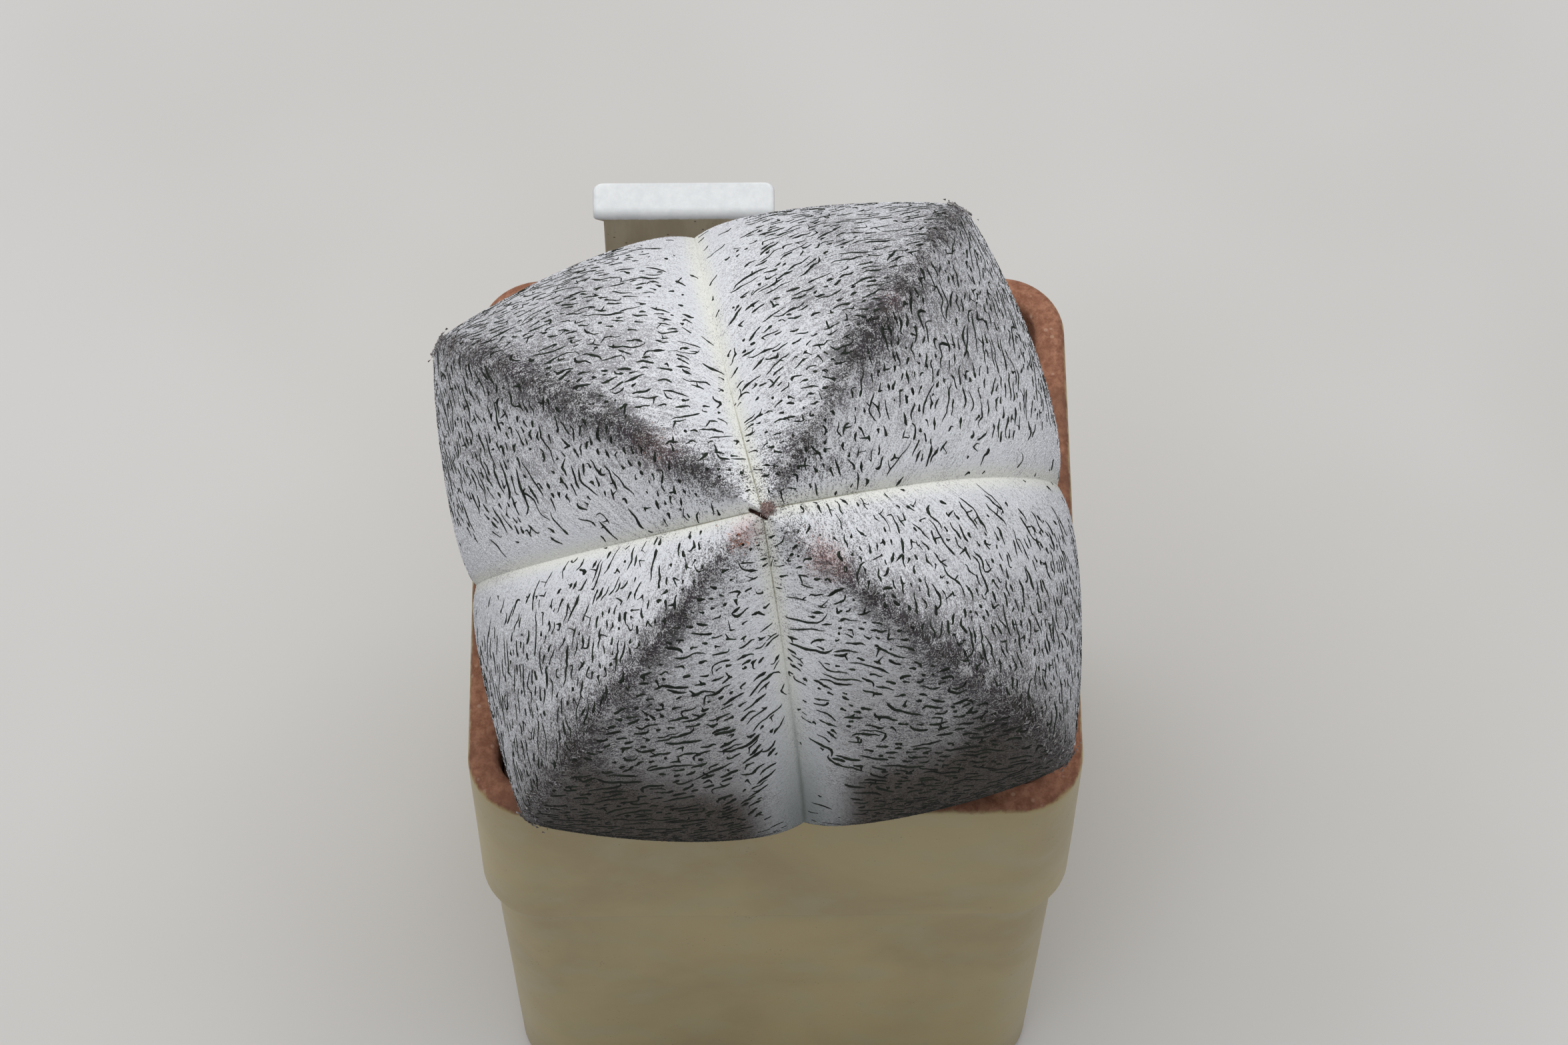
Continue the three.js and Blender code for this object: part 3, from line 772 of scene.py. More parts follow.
waist_place, plant_axes = stance()
skin_polar = skin_rows()
flank_columns = 0.5 - 0.5 * np.cos(np.linspace(0, math.pi, 32)[:-1])
skin_turn = np.concatenate([flank + flank_columns for flank in range(FLANKS)])
skin_places = pitted_skin(skin_turn[None, :], skin_polar[:, None])
skin_marks = surface_marks(skin_turn[None, :], skin_polar[:, None])
poles = waist_place + np.outer([CROWN_HEIGHT - FELT_DEPTH, -ROOT_DEPTH + FELT_DEPTH], plant_axes[2])
skin_ring = np.arange(len(skin_turn))
skin_next = (skin_ring + 1) % len(skin_turn)
last_ring = (len(skin_polar) - 1) * len(skin_turn)
apex_index = skin_turn.size * skin_polar.size
pole_marks = {name: values[[0, -1], :1] for name, values in skin_marks.items()}
plant_skin = add_piece(
    "plant_skin",
    np.concatenate([skin_places.reshape(-1, 3), poles]),
    [
        grid_faces(len(skin_polar), len(skin_turn), True)[:, ::-1],
        np.stack([skin_ring, skin_next, 0 * skin_ring + apex_index], -1),
        np.stack([last_ring + skin_next, last_ring + skin_ring, 0 * skin_ring + apex_index + 1], -1),
    ],
    skin_material(),
    {
        name: np.concatenate([
            values.reshape(apex_index, -1),
            pole_marks[name].reshape(2, -1),
        ]).squeeze()
        for name, values in skin_marks.items()
    },
)
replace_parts(plant_skin, "cactus_body")


# The slits: about five thousand short worm-like breaks in the felt, where the dark green skin shows. They
# follow the grain, swell to a head near one end and thin out to a tail, and some hook or fork.
SLIT_ROW = 0.79 * MM
SLIT_ROWS_START = -22 * MM
SLIT_ROWS_REACH = 24 * MM
DASHES_IN_ROW = 19
SLIT_SECTIONS = 11
SLIT_LENGTH = 1.4 * MM
SHORTEST_SLIT = 0.35 * MM
LONGEST_SLIT = 6.0 * MM
SLIT_GAP = 0.55 * MM
SLIT_HALF_WIDTH = 0.15 * MM
WIDEST_HALF = 0.23 * MM
SLIT_SUNK = 0.012 * MM
SLIT_PROUD = 0.05 * MM
SHOWN_LENGTH = 98 * MM
# The fine slits that hatch a furrow's edge: a row's step, and in millimetres their length, start and half
# width
HATCH_ROW = 1.05 * MM
HATCH_LENGTH = 0.5, 2.2
HATCH_START = 0.05, 0.6
HATCH_HALF_WIDTH = 0.09, 0.16
# The share that fork, with the branch's turn in radians and its length in millimetres
FORKED_SHARE = 0.3
BRANCH_TURN = 0.7, 1.5
BRANCH_LENGTH = 0.35, 1.1
# The smooth felt along a furrow, which widens with the distance from the apex
SMOOTH_FROM = 20 * MM
SMOOTH_WIDENS = 0.24
SMOOTH_EDGE = 2 * MM
# The grid of small cells that keeps slits clear of each other and tufts clear of slits
CELL = 0.08 * MM
CELLS_ACROSS = 500
CELLS_ALONG = 1280
SLIT_CLEAR = 0.08 * MM


def worm_lines(draw, flank, off, length, turned, long, half, anchor, head):
    """Distances from furrow and apex, heading and half width for each section of each slit. From its
    anchored section a slit steps out along a heading: the one given, plus noise, plus a hook that turns one
    end aside. Its half width falls to nothing at the ends, wavers by noise, and at its head has a narrow
    bell on top of a broad one."""
    count = len(off)
    along = np.linspace(0, 1, SLIT_SECTIONS)
    guess = off[:, None] + long[:, None] * (along - along[anchor])
    field = np.stack([guess, length[:, None] + 0 * guess, flank[:, None] * 0.04 + 0 * guess], -1)
    inner = draw.random((count, 1)) < 0.5
    turning = ease((np.where(inner, 1 - along, along) - 0.6) / 0.4)
    hook = (draw.choice([0, 0, 0, 0, -1, 1], count) * draw.uniform(0.6, 1.8, count))[:, None]
    heading = turned[:, None] + hook * turning
    heading = heading + 0.3 * drift(field, 3.0 * MM, 31) + 0.5 * drift(field, 0.7 * MM, 32)
    step = long[:, None] / (SLIT_SECTIONS - 1)
    out = np.cumsum(np.cos(heading) * step, 1)
    down = np.cumsum(np.sin(heading) * step, 1)
    out = out - out[:, anchor : anchor + 1] + off[:, None]
    down = down - down[:, anchor : anchor + 1] + length[:, None]
    taper = (1 - np.abs(2 * along - 1) ** 5) ** 0.6
    swell = draw.random((count, 1))
    spread = np.clip(0.2 * MM / long, 0.1, 0.4)[:, None]
    far = np.abs(along - head[:, None])
    body = 0.5 + 0.4 * bell(far, 0.6) + 0.7 * swell * bell(far, spread)
    width = half[:, None] * body * taper * (1 + 0.4 * drift(field, 0.3 * MM, 33))
    return out, down, heading, width


def dash_seats(draw):
    """Flank, distance of the middle from furrow and apex, length and half width of each dash. Dashes and
    gaps of random length follow each other along rows that sweep down each flank with the grain."""
    rows = int((SHOWN_LENGTH + SLIT_ROWS_REACH) / SLIT_ROW)
    shape = (FLANKS, rows, DASHES_IN_ROW)
    jitter = draw.uniform(-0.22, 0.22, shape)
    row = (np.arange(rows)[None, :, None] + jitter) * SLIT_ROW + SLIT_ROWS_START
    long = SLIT_LENGTH * np.exp(0.65 * draw.standard_normal(shape))
    long = long * (0.75 + 0.5 * grows(row, 4 * MM, 14 * MM))
    long = np.clip(long, SHORTEST_SLIT, LONGEST_SLIT)
    gap = SLIT_GAP * np.exp(0.5 * draw.standard_normal(shape))
    off = np.cumsum(long + gap, axis=2) - long / 2 - draw.uniform(0, 3 * MM, (FLANKS, rows, 1))
    length = row + barb_shift(np.maximum(off, 0), np.maximum(row + 12 * MM, 0))
    half = SLIT_HALF_WIDTH * np.exp(0.18 * draw.standard_normal(shape))
    flank = np.broadcast_to(np.arange(FLANKS)[:, None, None], shape)
    return [values.ravel() for values in (flank, off, length, long, half)]


def hatch_seats(draw):
    """The same for the fine slits that hatch each furrow's edge, one at each step down each flank."""
    shape = (FLANKS, int(SHOWN_LENGTH / HATCH_ROW))
    length = (draw.uniform(-0.4, 0.4, shape) + np.arange(shape[1])) * HATCH_ROW
    long = draw.uniform(*HATCH_LENGTH, shape).ravel() * MM
    off = draw.uniform(*HATCH_START, shape).ravel() * MM + 0.48 * long
    half = draw.uniform(*HATCH_HALF_WIDTH, shape).ravel() * MM
    return [np.repeat(np.arange(FLANKS), shape[1]), off, length.ravel(), long, half]


def slit_lines():
    """Flank, number, distance from furrow, distance from apex and half width of every slit, section by
    section. Some slits fork at their head, and the branch bears its slit's number."""
    draw = np.random.default_rng(21)
    seats = zip(dash_seats(draw), hatch_seats(draw))
    flank, off, length, long, half = (np.concatenate(pair) for pair in seats)
    turned = np.arctan(barb_slope(np.maximum(off, 0), length))
    middle, last = SLIT_SECTIONS // 2, SLIT_SECTIONS - 1
    head = draw.integers(1, last, len(off))
    out, down, heading, width = worm_lines(draw, flank, off, length, turned, long, half, middle, head / last)
    forked = np.flatnonzero(draw.random(len(off)) < FORKED_SHARE)
    point = head[forked]
    bend = draw.choice([-1, 1], len(forked)) * draw.uniform(*BRANCH_TURN, len(forked))
    start = flank[forked], out[forked, point], down[forked, point], heading[forked, point] + bend
    branch_long = draw.uniform(*BRANCH_LENGTH, len(forked)) * MM
    branch = worm_lines(draw, *start, branch_long, 0.85 * half[forked], 0, 0 * point)
    number = np.concatenate([np.arange(len(flank)), forked])
    lines = [np.concatenate(pair) for pair in zip((out, down, width), (branch[0], branch[1], branch[3]))]
    return np.repeat(flank[number][:, None], SLIT_SECTIONS, 1), number, *lines


def slit_cells(flank, off, length, half, margin):
    """The small cells that each slit lies on: places in a grid over each flank's width and length, sampled
    closely along the slit's line and, in both directions, across its width and a margin."""
    fine = np.linspace(0, SLIT_SECTIONS - 1, 90)
    low = np.minimum(fine.astype(int), SLIT_SECTIONS - 2)
    share = fine - low
    off, length, half = (v[:, low] * (1 - share) + v[:, low + 1] * share for v in (off, length, half))
    across = np.linspace(-1, 1, 9)[:, None, None] * (half + margin)
    column = (np.concatenate([off + across, off + 0 * across]) / CELL).astype(int)
    row = (np.concatenate([length + 0 * across, length + across]) / CELL).astype(int)
    return flank[None, :, :1], np.clip(column, 0, CELLS_ACROSS - 1), np.clip(row, 0, CELLS_ALONG - 1)


def stands_clear(flank, number, off, length, half):
    """True for each slit that later ones leave alone: all slits write their number on their cells in turn,
    and a slit is clear when it and its branch still hold most of theirs."""
    cells = slit_cells(flank, off, length, half, SLIT_CLEAR)
    owner = np.zeros((FLANKS, CELLS_ACROSS, CELLS_ALONG), int)
    owner[cells] = number[None, :, None] + 0 * cells[1]
    held = (owner[cells] == number[None, :, None]).mean((0, 2))
    share = np.bincount(number, held) / np.maximum(np.bincount(number), 1)
    return share[number] > 0.9


def kept_slits():
    """The slits that lie wholly on their flank and clear of others, with their turn and polar angle. Fewer
    are kept on the worn crests, in the smooth felt along the furrows, close by the apex and near the soil.
    They are broader where the felt is worn and on the front, up to a limit."""
    flank, number, off, length, half = slit_lines()
    inside = (off.min(1) > -0.02 * MM) & (length.min(1) > 1.8 * MM) & (length.max(1) < SHOWN_LENGTH)
    inside = inside & stands_clear(flank, number, off, length, half)
    flank, off, length, half = (v[inside] for v in (flank, off, length, half))
    turn, polar, wide = flank_place(flank, np.maximum(off, 0), length)
    inside = (off < wide - 0.3 * MM).all(1)
    flank, off, length, half, turn, polar = (v[inside] for v in (flank, off, length, half, turn, polar))
    middle = SLIT_SECTIONS // 2
    marks = surface_marks(turn[:, middle], polar[:, middle])
    smooth = ease((SMOOTH_WIDENS * (marks["length"] - SMOOTH_FROM) - off[:, middle]) / SMOOTH_EDGE + 0.5)
    worn = ease((marks["wear"] - 0.75) / 0.25)
    chance = (1 - 0.2 * worn * (1 - marks["dusk"])) * (1 - 0.85 * smooth)
    chance = chance * (0.7 + 0.3 * ease(marks["length"] / (12 * MM)))
    chance = chance * (1 - 0.5 * grows(marks["length"], 55 * MM, 15 * MM))
    kept = np.random.default_rng(22).random(len(turn)) < chance
    half = half * (1 + 0.15 * ease((marks["wear"] - 0.3) / 0.5) + 0.35 * marks["dusk"])[:, None]
    half = np.minimum(half, WIDEST_HALF)
    return [v[kept] for v in (flank, off, length, half, turn, polar)]


def surface_axes(turn, polar):
    """A seat on the skin, the skin's normal, the way down the meridian and the way of growing turn."""
    seat = skin(turn, polar, -FELT_DEPTH)
    beside = skin(turn + 1e-3, polar, -FELT_DEPTH) - seat
    below = skin(turn, polar + 1e-3, -FELT_DEPTH) - seat
    normal = np.cross(below, beside)
    normal /= np.linalg.norm(normal, axis=-1, keepdims=True)
    down = below / np.linalg.norm(below, axis=-1, keepdims=True)
    return seat, normal, down, np.cross(normal, down)


def slit_mesh(turn, polar, half):
    """Slender closed slivers: at each section a low triangle, with its two feet sunk in the skin at half
    the width on either side of the line and its ridge just proud of the skin. The ends run out to
    points."""
    middle, normal, _, _ = surface_axes(turn, polar)
    forward = np.gradient(middle, axis=1)
    sideways = np.cross(normal, forward)
    sideways /= np.linalg.norm(sideways, axis=-1, keepdims=True)
    left = middle - sideways * half[..., None] - normal * SLIT_SUNK
    right = middle + sideways * half[..., None] - normal * SLIT_SUNK
    ridge = middle + normal * SLIT_PROUD
    ridge[:, [0, -1]] = (middle - normal * SLIT_SUNK)[:, [0, -1]]
    tube = np.stack([right[:, 1:-1], ridge[:, 1:-1], left[:, 1:-1]], 2)
    count, sections = tube.shape[:2]
    places = np.concatenate([tube.reshape(count, -1, 3), ridge[:, :1], ridge[:, -1:]], 1)
    side = grid_faces(sections, 3, True)
    start, end = 3 * sections, 3 * sections + 1
    last = 3 * (sections - 1)
    start_cap = [[(corner + 1) % 3, corner, start] for corner in range(3)]
    end_cap = [[last + corner, last + (corner + 1) % 3, end] for corner in range(3)]
    caps = np.array(start_cap + end_cap)
    first = np.arange(count)[:, None, None] * (3 * sections + 2)
    return places.reshape(-1, 3), [(side + first).reshape(-1, 4), (caps + first).reshape(-1, 3)]


def slit_material():
    """The skin seen down a slit: dark green and waxy, painted nearly black as the shade in its depth."""
    material, wire = new_material("green_skin_in_painted_shade")
    shade = wire.objects().noise(700.0, 3.0)
    wire.surface({
        # Dark green, with painted shade taking it to nearly black
        "Base Color": shade.step(0.35, 0.7).blend((0.006, 0.009, 0.006, 1), (0.017, 0.025, 0.015, 1)),
        "Roughness": 0.7,
        "Specular IOR Level": 0.25,
        "Normal": wire.bump(shade, 0.1 * MM, 0.5),
    })
    return material


slit_flank, slit_off, slit_length, slit_half, slit_turn, slit_polar = kept_slits()
slit_finish = slit_material()
for rib in range(4):
    here = np.rint(slit_turn[:, 0] / 2).astype(int) % 4 == rib
    places, faces = slit_mesh(slit_turn[here], slit_polar[here], slit_half[here])
    add_piece(f"skin_slits_{rib + 1}", places, faces, slit_finish)


# The felt's top coat: about a hundred thousand tufts of short white hair, each a sliver laid along the
# grain. They leave the slits and creases free, stand thin and dark on the worn crests, and lie close by the
# furrows.
TUFT_SPACING = 0.275 * MM
TUFT_LENGTH = 0.34 * MM
TUFT_WIDTH = 0.085 * MM
TUFT_HEIGHT = 0.07 * MM
TUFT_CLEAR = 0.09 * MM
TUFT_FOOT_SHADE = 0.9
TUFT_SUNK = 0.02 * MM
WIDEST_FLANK = 40 * MM
CREASE_FREE = 0.1 * MM
APEX_FREE = 0.5 * MM
HAIR_WHITE = np.array([0.76, 0.77, 0.81])
HAIR_GREY = np.array([0.47, 0.46, 0.48])
HAIR_IVORY = np.array([0.79, 0.795, 0.75])
HAIR_FRONT_SHADE = np.array([0.47, 0.465, 0.475])
HAIR_MOSS = np.array([0.24, 0.27, 0.265])
HAIR_WORN = np.array([0.088, 0.08, 0.09])
HAIR_RUST = np.array([0.60, 0.40, 0.37])
HAIR_AGED_AND_SHADE = np.array([0.11, 0.095, 0.082])


def tuft_seats():
    """Where the tufts stand: a jittered grid over each flank, less the slits, the crease and, by chance,
    the worn streaks and the hidden underside. Gives flank, turn, polar angle and the surface's marks."""
    draw = np.random.default_rng(5)
    across = np.arange(0, WIDEST_FLANK, TUFT_SPACING)
    along = np.arange(0, SHOWN_LENGTH, TUFT_SPACING)
    mask = np.zeros((FLANKS, CELLS_ACROSS, CELLS_ALONG), bool)
    mask[slit_cells(slit_flank, slit_off, slit_length, slit_half, TUFT_CLEAR)] = True
    seats = []
    for flank in range(FLANKS):
        off, length = np.meshgrid(across, along)
        off = (off + draw.uniform(0, TUFT_SPACING, off.shape)).ravel()
        length = (length + draw.uniform(0, TUFT_SPACING, length.shape)).ravel()
        turn, polar, wide = flank_place(flank, off, length)
        column = np.minimum((off / CELL).astype(int), CELLS_ACROSS - 1)
        row = np.minimum((length / CELL).astype(int), CELLS_ALONG - 1)
        free = (off < wide) & (off > CREASE_FREE) & (length > APEX_FREE) & ~mask[flank, column, row]
        spared = draw.random(off.shape) > 0.5 * grows(length, 50 * MM, 25 * MM)
        seats.append(np.stack([0 * off + flank, turn, polar], -1)[free & spared])
    flank, turn, polar = np.concatenate(seats).T
    marks = surface_marks(turn, polar)
    chance = (1 - 0.4 * marks["wear"]) * (1 - 0.2 * marks["aged"]) * (1 - marks["pit"])
    kept = draw.random(turn.shape) < chance
    marks = {name: values[kept] for name, values in marks.items()}
    return flank[kept].astype(int), turn[kept], polar[kept], marks


def felt_tints(marks, draw):
    """A colour for each tuft: cool white with its own brightness, ivory by the crease, greyed on the front as
    painted shade, green in its furrow, violet grey and dark in growing numbers towards the worn crests, rust
    pink in young wool, and brown on old growth and, as painted shade, on the front's lower flanks."""
    names = ("wear", "dusk", "bloom", "aged", "moss")
    wear, dusk, bloom, aged, moss = (marks[name][:, None] for name in names)
    chance = draw.random((5, len(wear), 1))
    tint = HAIR_WHITE * (0.86 + 0.24 * chance[0]) * (1 - 0.25 * ease((wear - 0.45) / 0.6))
    grey = chance[1] < 0.03 + 0.4 * wear
    tint = np.where(grey, HAIR_GREY * (0.7 + 0.5 * chance[0]), tint)
    ivory = ease(1 - marks["off_furrow"] / (2.2 * MM))[:, None]
    tint = mix(tint, HAIR_IVORY * (0.9 + 0.15 * chance[0]), ivory)
    # Painted shade: greyer tufts on the front
    tint = mix(tint, HAIR_FRONT_SHADE * (0.6 + 0.7 * chance[0]), 0.8 * dusk)
    tint = mix(tint, HAIR_MOSS, 0.9 * moss)
    dark = chance[2] < 0.65 * ease((wear - 0.5) / 0.5)
    tint = np.where(dark, HAIR_WORN * (0.4 + chance[3]), tint)
    rust = chance[3] < 0.8 * bloom
    tint = np.where(rust, HAIR_RUST * (0.75 + 0.4 * chance[2]), tint)
    # Brown old growth, and painted shade on the front's lower flanks
    return mix(tint, HAIR_AGED_AND_SHADE * (0.35 + 1.3 * chance[4]), 0.95 * aged)


def sliver_mesh(seat, normal, ahead, long, wide, high, lean):
    """Closed four-faced slivers, one for each seat. Two corners of the foot lie behind the seat and one
    before it, sunk in what carries them, and the tip stands over the seat at a height, moved ahead by lean
    times its length."""
    aside = np.cross(normal, ahead)
    sunk = seat - normal * TUFT_SUNK
    corners = [
        sunk - ahead * long * 0.45 + aside * wide * 0.5,
        sunk - ahead * long * 0.45 - aside * wide * 0.5,
        sunk + ahead * long * 0.55,
        seat + ahead * long * lean + normal * high,
    ]
    first = np.arange(len(seat))[:, None, None] * 4
    faces = np.array([[0, 2, 1], [0, 1, 3], [1, 2, 3], [2, 0, 3]]) + first
    return np.stack(corners, 1).reshape(-1, 3), faces.reshape(-1, 3)


def tuft_mesh(flank, turn, polar, marks, draw):
    """Slivers laid along the barbs, give or take half a right angle, with the tip at either end."""
    seat, normal, down, around = surface_axes(turn, polar)
    count = len(turn)
    to_crest = np.where(flank % 2 == 0, -1, 1)[:, None] * around
    heading = np.arctan(barb_slope(marks["off_furrow"], marks["length"]))[:, None]
    heading = heading + draw.normal(0, 0.4, (count, 1))
    ahead = (to_crest * np.cos(heading) + down * np.sin(heading)) * draw.choice([-1, 1], (count, 1))
    near_furrow = ease((3.5 * MM - marks["off_furrow"]) / (3 * MM))[:, None]
    long = TUFT_LENGTH * draw.uniform(0.7, 1.35, (count, 1)) * (1 - 0.2 * near_furrow)
    wide = TUFT_WIDTH * draw.uniform(0.7, 1.3, (count, 1))
    high = TUFT_HEIGHT * draw.uniform(0.5, 1.3, (count, 1)) * (1 - 0.55 * near_furrow)
    return sliver_mesh(seat, normal, ahead, long, wide, high, draw.uniform(0.0, 0.6, (count, 1)))


def felt_material():
    """White plant hair: matt, tinted tuft by tuft, with a finer speckle of its own."""
    material, wire = new_material("white_felt")
    speckle = wire.objects().noise(4200.0, 2.0, 0.6)
    tint = wire.attribute("felt_tint", 0)
    shade = speckle.step(0.3, 0.62).blend((0.82, 0.82, 0.82, 1), (1, 1, 1, 1))
    settings = {"data_type": "RGBA", "blend_type": "MULTIPLY"}
    colour = wire.node("ShaderNodeMix", settings, {"Factor": 1.0, 6: tint, 7: shade}, 2)
    wire.surface({"Base Color": colour, "Roughness": 0.92, "Specular IOR Level": 0.2})
    return material


def sliver_tints(tints, foot_shade):
    """The tints of the slivers' four corners, darker by foot_shade at the foot, as colours with full
    alpha."""
    shading = np.array([foot_shade, foot_shade, foot_shade, 1])
    shaded = np.repeat(tints[:, None, :], 4, 1) * shading[None, :, None]
    return np.concatenate([shaded, np.ones(shaded.shape[:2] + (1,))], -1).reshape(-1, 4)


felt_flank, felt_turn, felt_polar, felt_marks = tuft_seats()
felt_draw = np.random.default_rng(8)
felt_finish = felt_material()
for rib in range(4):
    here = np.rint(felt_turn / 2).astype(int) % 4 == rib
    marks = {name: values[here] for name, values in felt_marks.items()}
    places, faces = tuft_mesh(felt_flank[here], felt_turn[here], felt_polar[here], marks, felt_draw)
    tints = {"felt_tint": sliver_tints(felt_tints(marks, felt_draw), TUFT_FOOT_SHADE)}
    add_piece(f"felt_tufts_{rib + 1}", places, [faces], felt_finish, tints, smooth=False)


# The areoles and the apex: small pads of woolly bristle at even steps along each crest, rust red where they
# are young and brown grey below, and one curly reddish tuft beside the apex's pit.
AREOLE_SPACING = 5 * MM
AREOLE_FIRST = 4 * MM
AREOLE_LAST = 92 * MM
AREOLE_HAIRS = 48
AREOLE_SPREAD = 0.75 * MM
AREOLE_DOME = 0.06 * MM
AREOLE_YOUNG = 5 * MM
APEX_HAIRS = 340
APEX_CENTRE = (0.55 * MM, 0.12 * MM)
APEX_SPREAD = 0.34 * MM
APEX_DOME = 0.3 * MM
# A bristle's length, width and height
AREOLE_BRISTLE = 0.5 * MM, 0.08 * MM, 0.16 * MM
APEX_BRISTLE = 0.42 * MM, 0.08 * MM, 0.12 * MM
WOOL_FOOT_SHADE = 0.6
WOOL_DARK = np.array([0.09, 0.075, 0.075])
WOOL_PALE = np.array([0.52, 0.50, 0.50])
WOOL_YOUNG = np.array([0.62, 0.25, 0.15])
APEX_DARK = np.array([0.22, 0.11, 0.09])
APEX_PALE = np.array([0.74, 0.60, 0.57])


def wool_mesh(centre, normal, spread, domed, long, wide, high, draw):
    """Bristles round each centre: seats scattered in a bell on the plane square to the normal, raised in a
    dome, and each sliver headed any way and tipped outwards."""
    count = len(centre)
    any_way = draw.normal(0, 1, (count, 3))
    offset = any_way - normal * np.sum(any_way * normal, 1, keepdims=True)
    far = np.linalg.norm(offset, axis=1, keepdims=True)
    lifted = domed * np.exp(-(far**2) / 2)
    seat = centre + offset * spread + normal * lifted
    heading = np.cross(normal, draw.normal(0, 1, (count, 3)))
    heading /= np.linalg.norm(heading, axis=1, keepdims=True)
    size = draw.uniform(0.6, 1.3, (3, count, 1))
    return sliver_mesh(seat, normal, heading, long * size[0], wide * size[1], high * size[2], 0.4)


def areole_wool(draw):
    """The bristles of every areole, with a tint for each."""
    lengths = np.arange(AREOLE_FIRST, AREOLE_LAST, AREOLE_SPACING)
    rib, length = (v.ravel() for v in np.meshgrid(np.arange(4), lengths, indexing="ij"))
    centre, normal, _, _ = surface_axes(2.0 * rib, polar_at(length))
    centre, normal, rib, length = (np.repeat(v, AREOLE_HAIRS, 0) for v in (centre, normal, rib, length))
    mesh = wool_mesh(centre, normal, AREOLE_SPREAD, AREOLE_DOME, *AREOLE_BRISTLE, draw)
    chance = draw.random((2, len(length), 1))
    worn = mix(WOOL_DARK, WOOL_PALE, chance[0] ** 1.2)
    young = ((length < AREOLE_YOUNG) & (rib == 2))[:, None] & (chance[1] < 0.75)
    return mesh, np.where(young, WOOL_YOUNG * (0.6 + 0.7 * chance[0]), worn)


def apex_wool(draw):
    """The apex's tuft: bristles in a dome beside the pit, reddish brown with paler tips."""
    waist, axes = stance()
    top = waist + np.array([*APEX_CENTRE, CROWN_HEIGHT - FELT_DEPTH - 0.1 * MM]) @ axes
    centre = np.repeat(top[None, :], APEX_HAIRS, 0)
    normal = np.repeat(axes[2][None, :], APEX_HAIRS, 0)
    mesh = wool_mesh(centre, normal, APEX_SPREAD, APEX_DOME, *APEX_BRISTLE, draw)
    chance = draw.random((APEX_HAIRS, 1))
    return mesh, mix(APEX_DARK, APEX_PALE, chance)


wool_draw = np.random.default_rng(17)
wool_parts = [areole_wool(wool_draw), apex_wool(wool_draw)]
for name, ((places, faces), colours) in zip(("areole_wool", "apex_tuft"), wool_parts):
    tints = {"felt_tint": sliver_tints(colours, WOOL_FOOT_SHADE)}
    add_piece(name, places, [faces], felt_finish, tints, smooth=False)


# The soil: a gritty mix of red clay crumb, dark peat and pale sand, filled round the plant's foot and the
# label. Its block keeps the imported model's shape, and loose grains lie over it.
GRAIN_COUNT = 1500
GRAIN_SIZE = (0.5 * MM, 2.4 * MM)
CAVITY_HALF = 30.4 * MM
LABEL_CENTRE = (-10.05 * MM, 28.6 * MM)
GRAIN_TINTS = np.array([
    [0.20, 0.085, 0.045],
    [0.13, 0.06, 0.035],
    [0.035, 0.026, 0.02],
    [0.30, 0.16, 0.10],
    [0.42, 0.37, 0.30],
    [0.20, 0.19, 0.17],
])
GRAIN_SHARES = [0.3, 0.24, 0.2, 0.12, 0.07, 0.07]


def soil_material():
    """Damp crumbly mix: dark peat between reddish crumbs, with pale sand here and there."""
    material, wire = new_material("gritty_soil")
    place = wire.objects()
    crumb = place.cells(620.0)
    tone = place.noise(240.0, 5.0, 0.7)
    colour = tone.step(0.35, 0.66).blend((0.030, 0.020, 0.014, 1), (0.15, 0.07, 0.04, 1))
    colour = crumb.step(0.3, 0.1).blend(colour, (0.21, 0.10, 0.06, 1))
    sand = place.cells(900.0).step(0.16, 0.06) * place.noise(500.0).step(0.55, 0.7)
    colour = sand.blend(colour, (0.42, 0.37, 0.30, 1))
    wire.surface({
        "Base Color": colour,
        "Roughness": 0.95,
        "Normal": wire.bump(tone * 0.6 + crumb.step(0.5, 0.0) * 0.4, 0.6 * MM),
    })
    return material


def grain_material():
    """A grain's own tint, with the pits and dust of broken stone."""
    material, wire = new_material("loose_grit")
    fine = wire.objects().noise(1500.0, 4.0, 0.7)
    tint = wire.attribute("grain_tint", 0)
    dusty = fine.step(0.35, 0.7).blend((0.6, 0.6, 0.6, 1), (1.15, 1.12, 1.1, 1))
    settings = {"data_type": "RGBA", "blend_type": "MULTIPLY"}
    colour = wire.node("ShaderNodeMix", settings, {"Factor": 1.0, 6: tint, 7: dusty}, 2)
    wire.surface({"Base Color": colour, "Roughness": 0.9, "Normal": wire.bump(fine, 0.15 * MM, 0.7)})
    return material


def twenty_faces():
    """The twelve corners of an icosahedron of radius 1, and its faces."""
    golden = (1 + math.sqrt(5)) / 2
    corners = np.array([
        [-1, golden, 0], [1, golden, 0], [-1, -golden, 0], [1, -golden, 0],
        [0, -1, golden], [0, 1, golden], [0, -1, -golden], [0, 1, -golden],
        [golden, 0, -1], [golden, 0, 1], [-golden, 0, -1], [-golden, 0, 1],
    ])
    faces = np.array([
        [0, 11, 5], [0, 5, 1], [0, 1, 7], [0, 7, 10], [0, 10, 11],
        [1, 5, 9], [5, 11, 4], [11, 10, 2], [10, 7, 6], [7, 1, 8],
        [3, 9, 4], [3, 4, 2], [3, 2, 6], [3, 6, 8], [3, 8, 9],
        [4, 9, 5], [2, 4, 11], [6, 2, 10], [8, 6, 7], [9, 8, 1],
    ])
    return corners / np.linalg.norm(corners[0]), faces


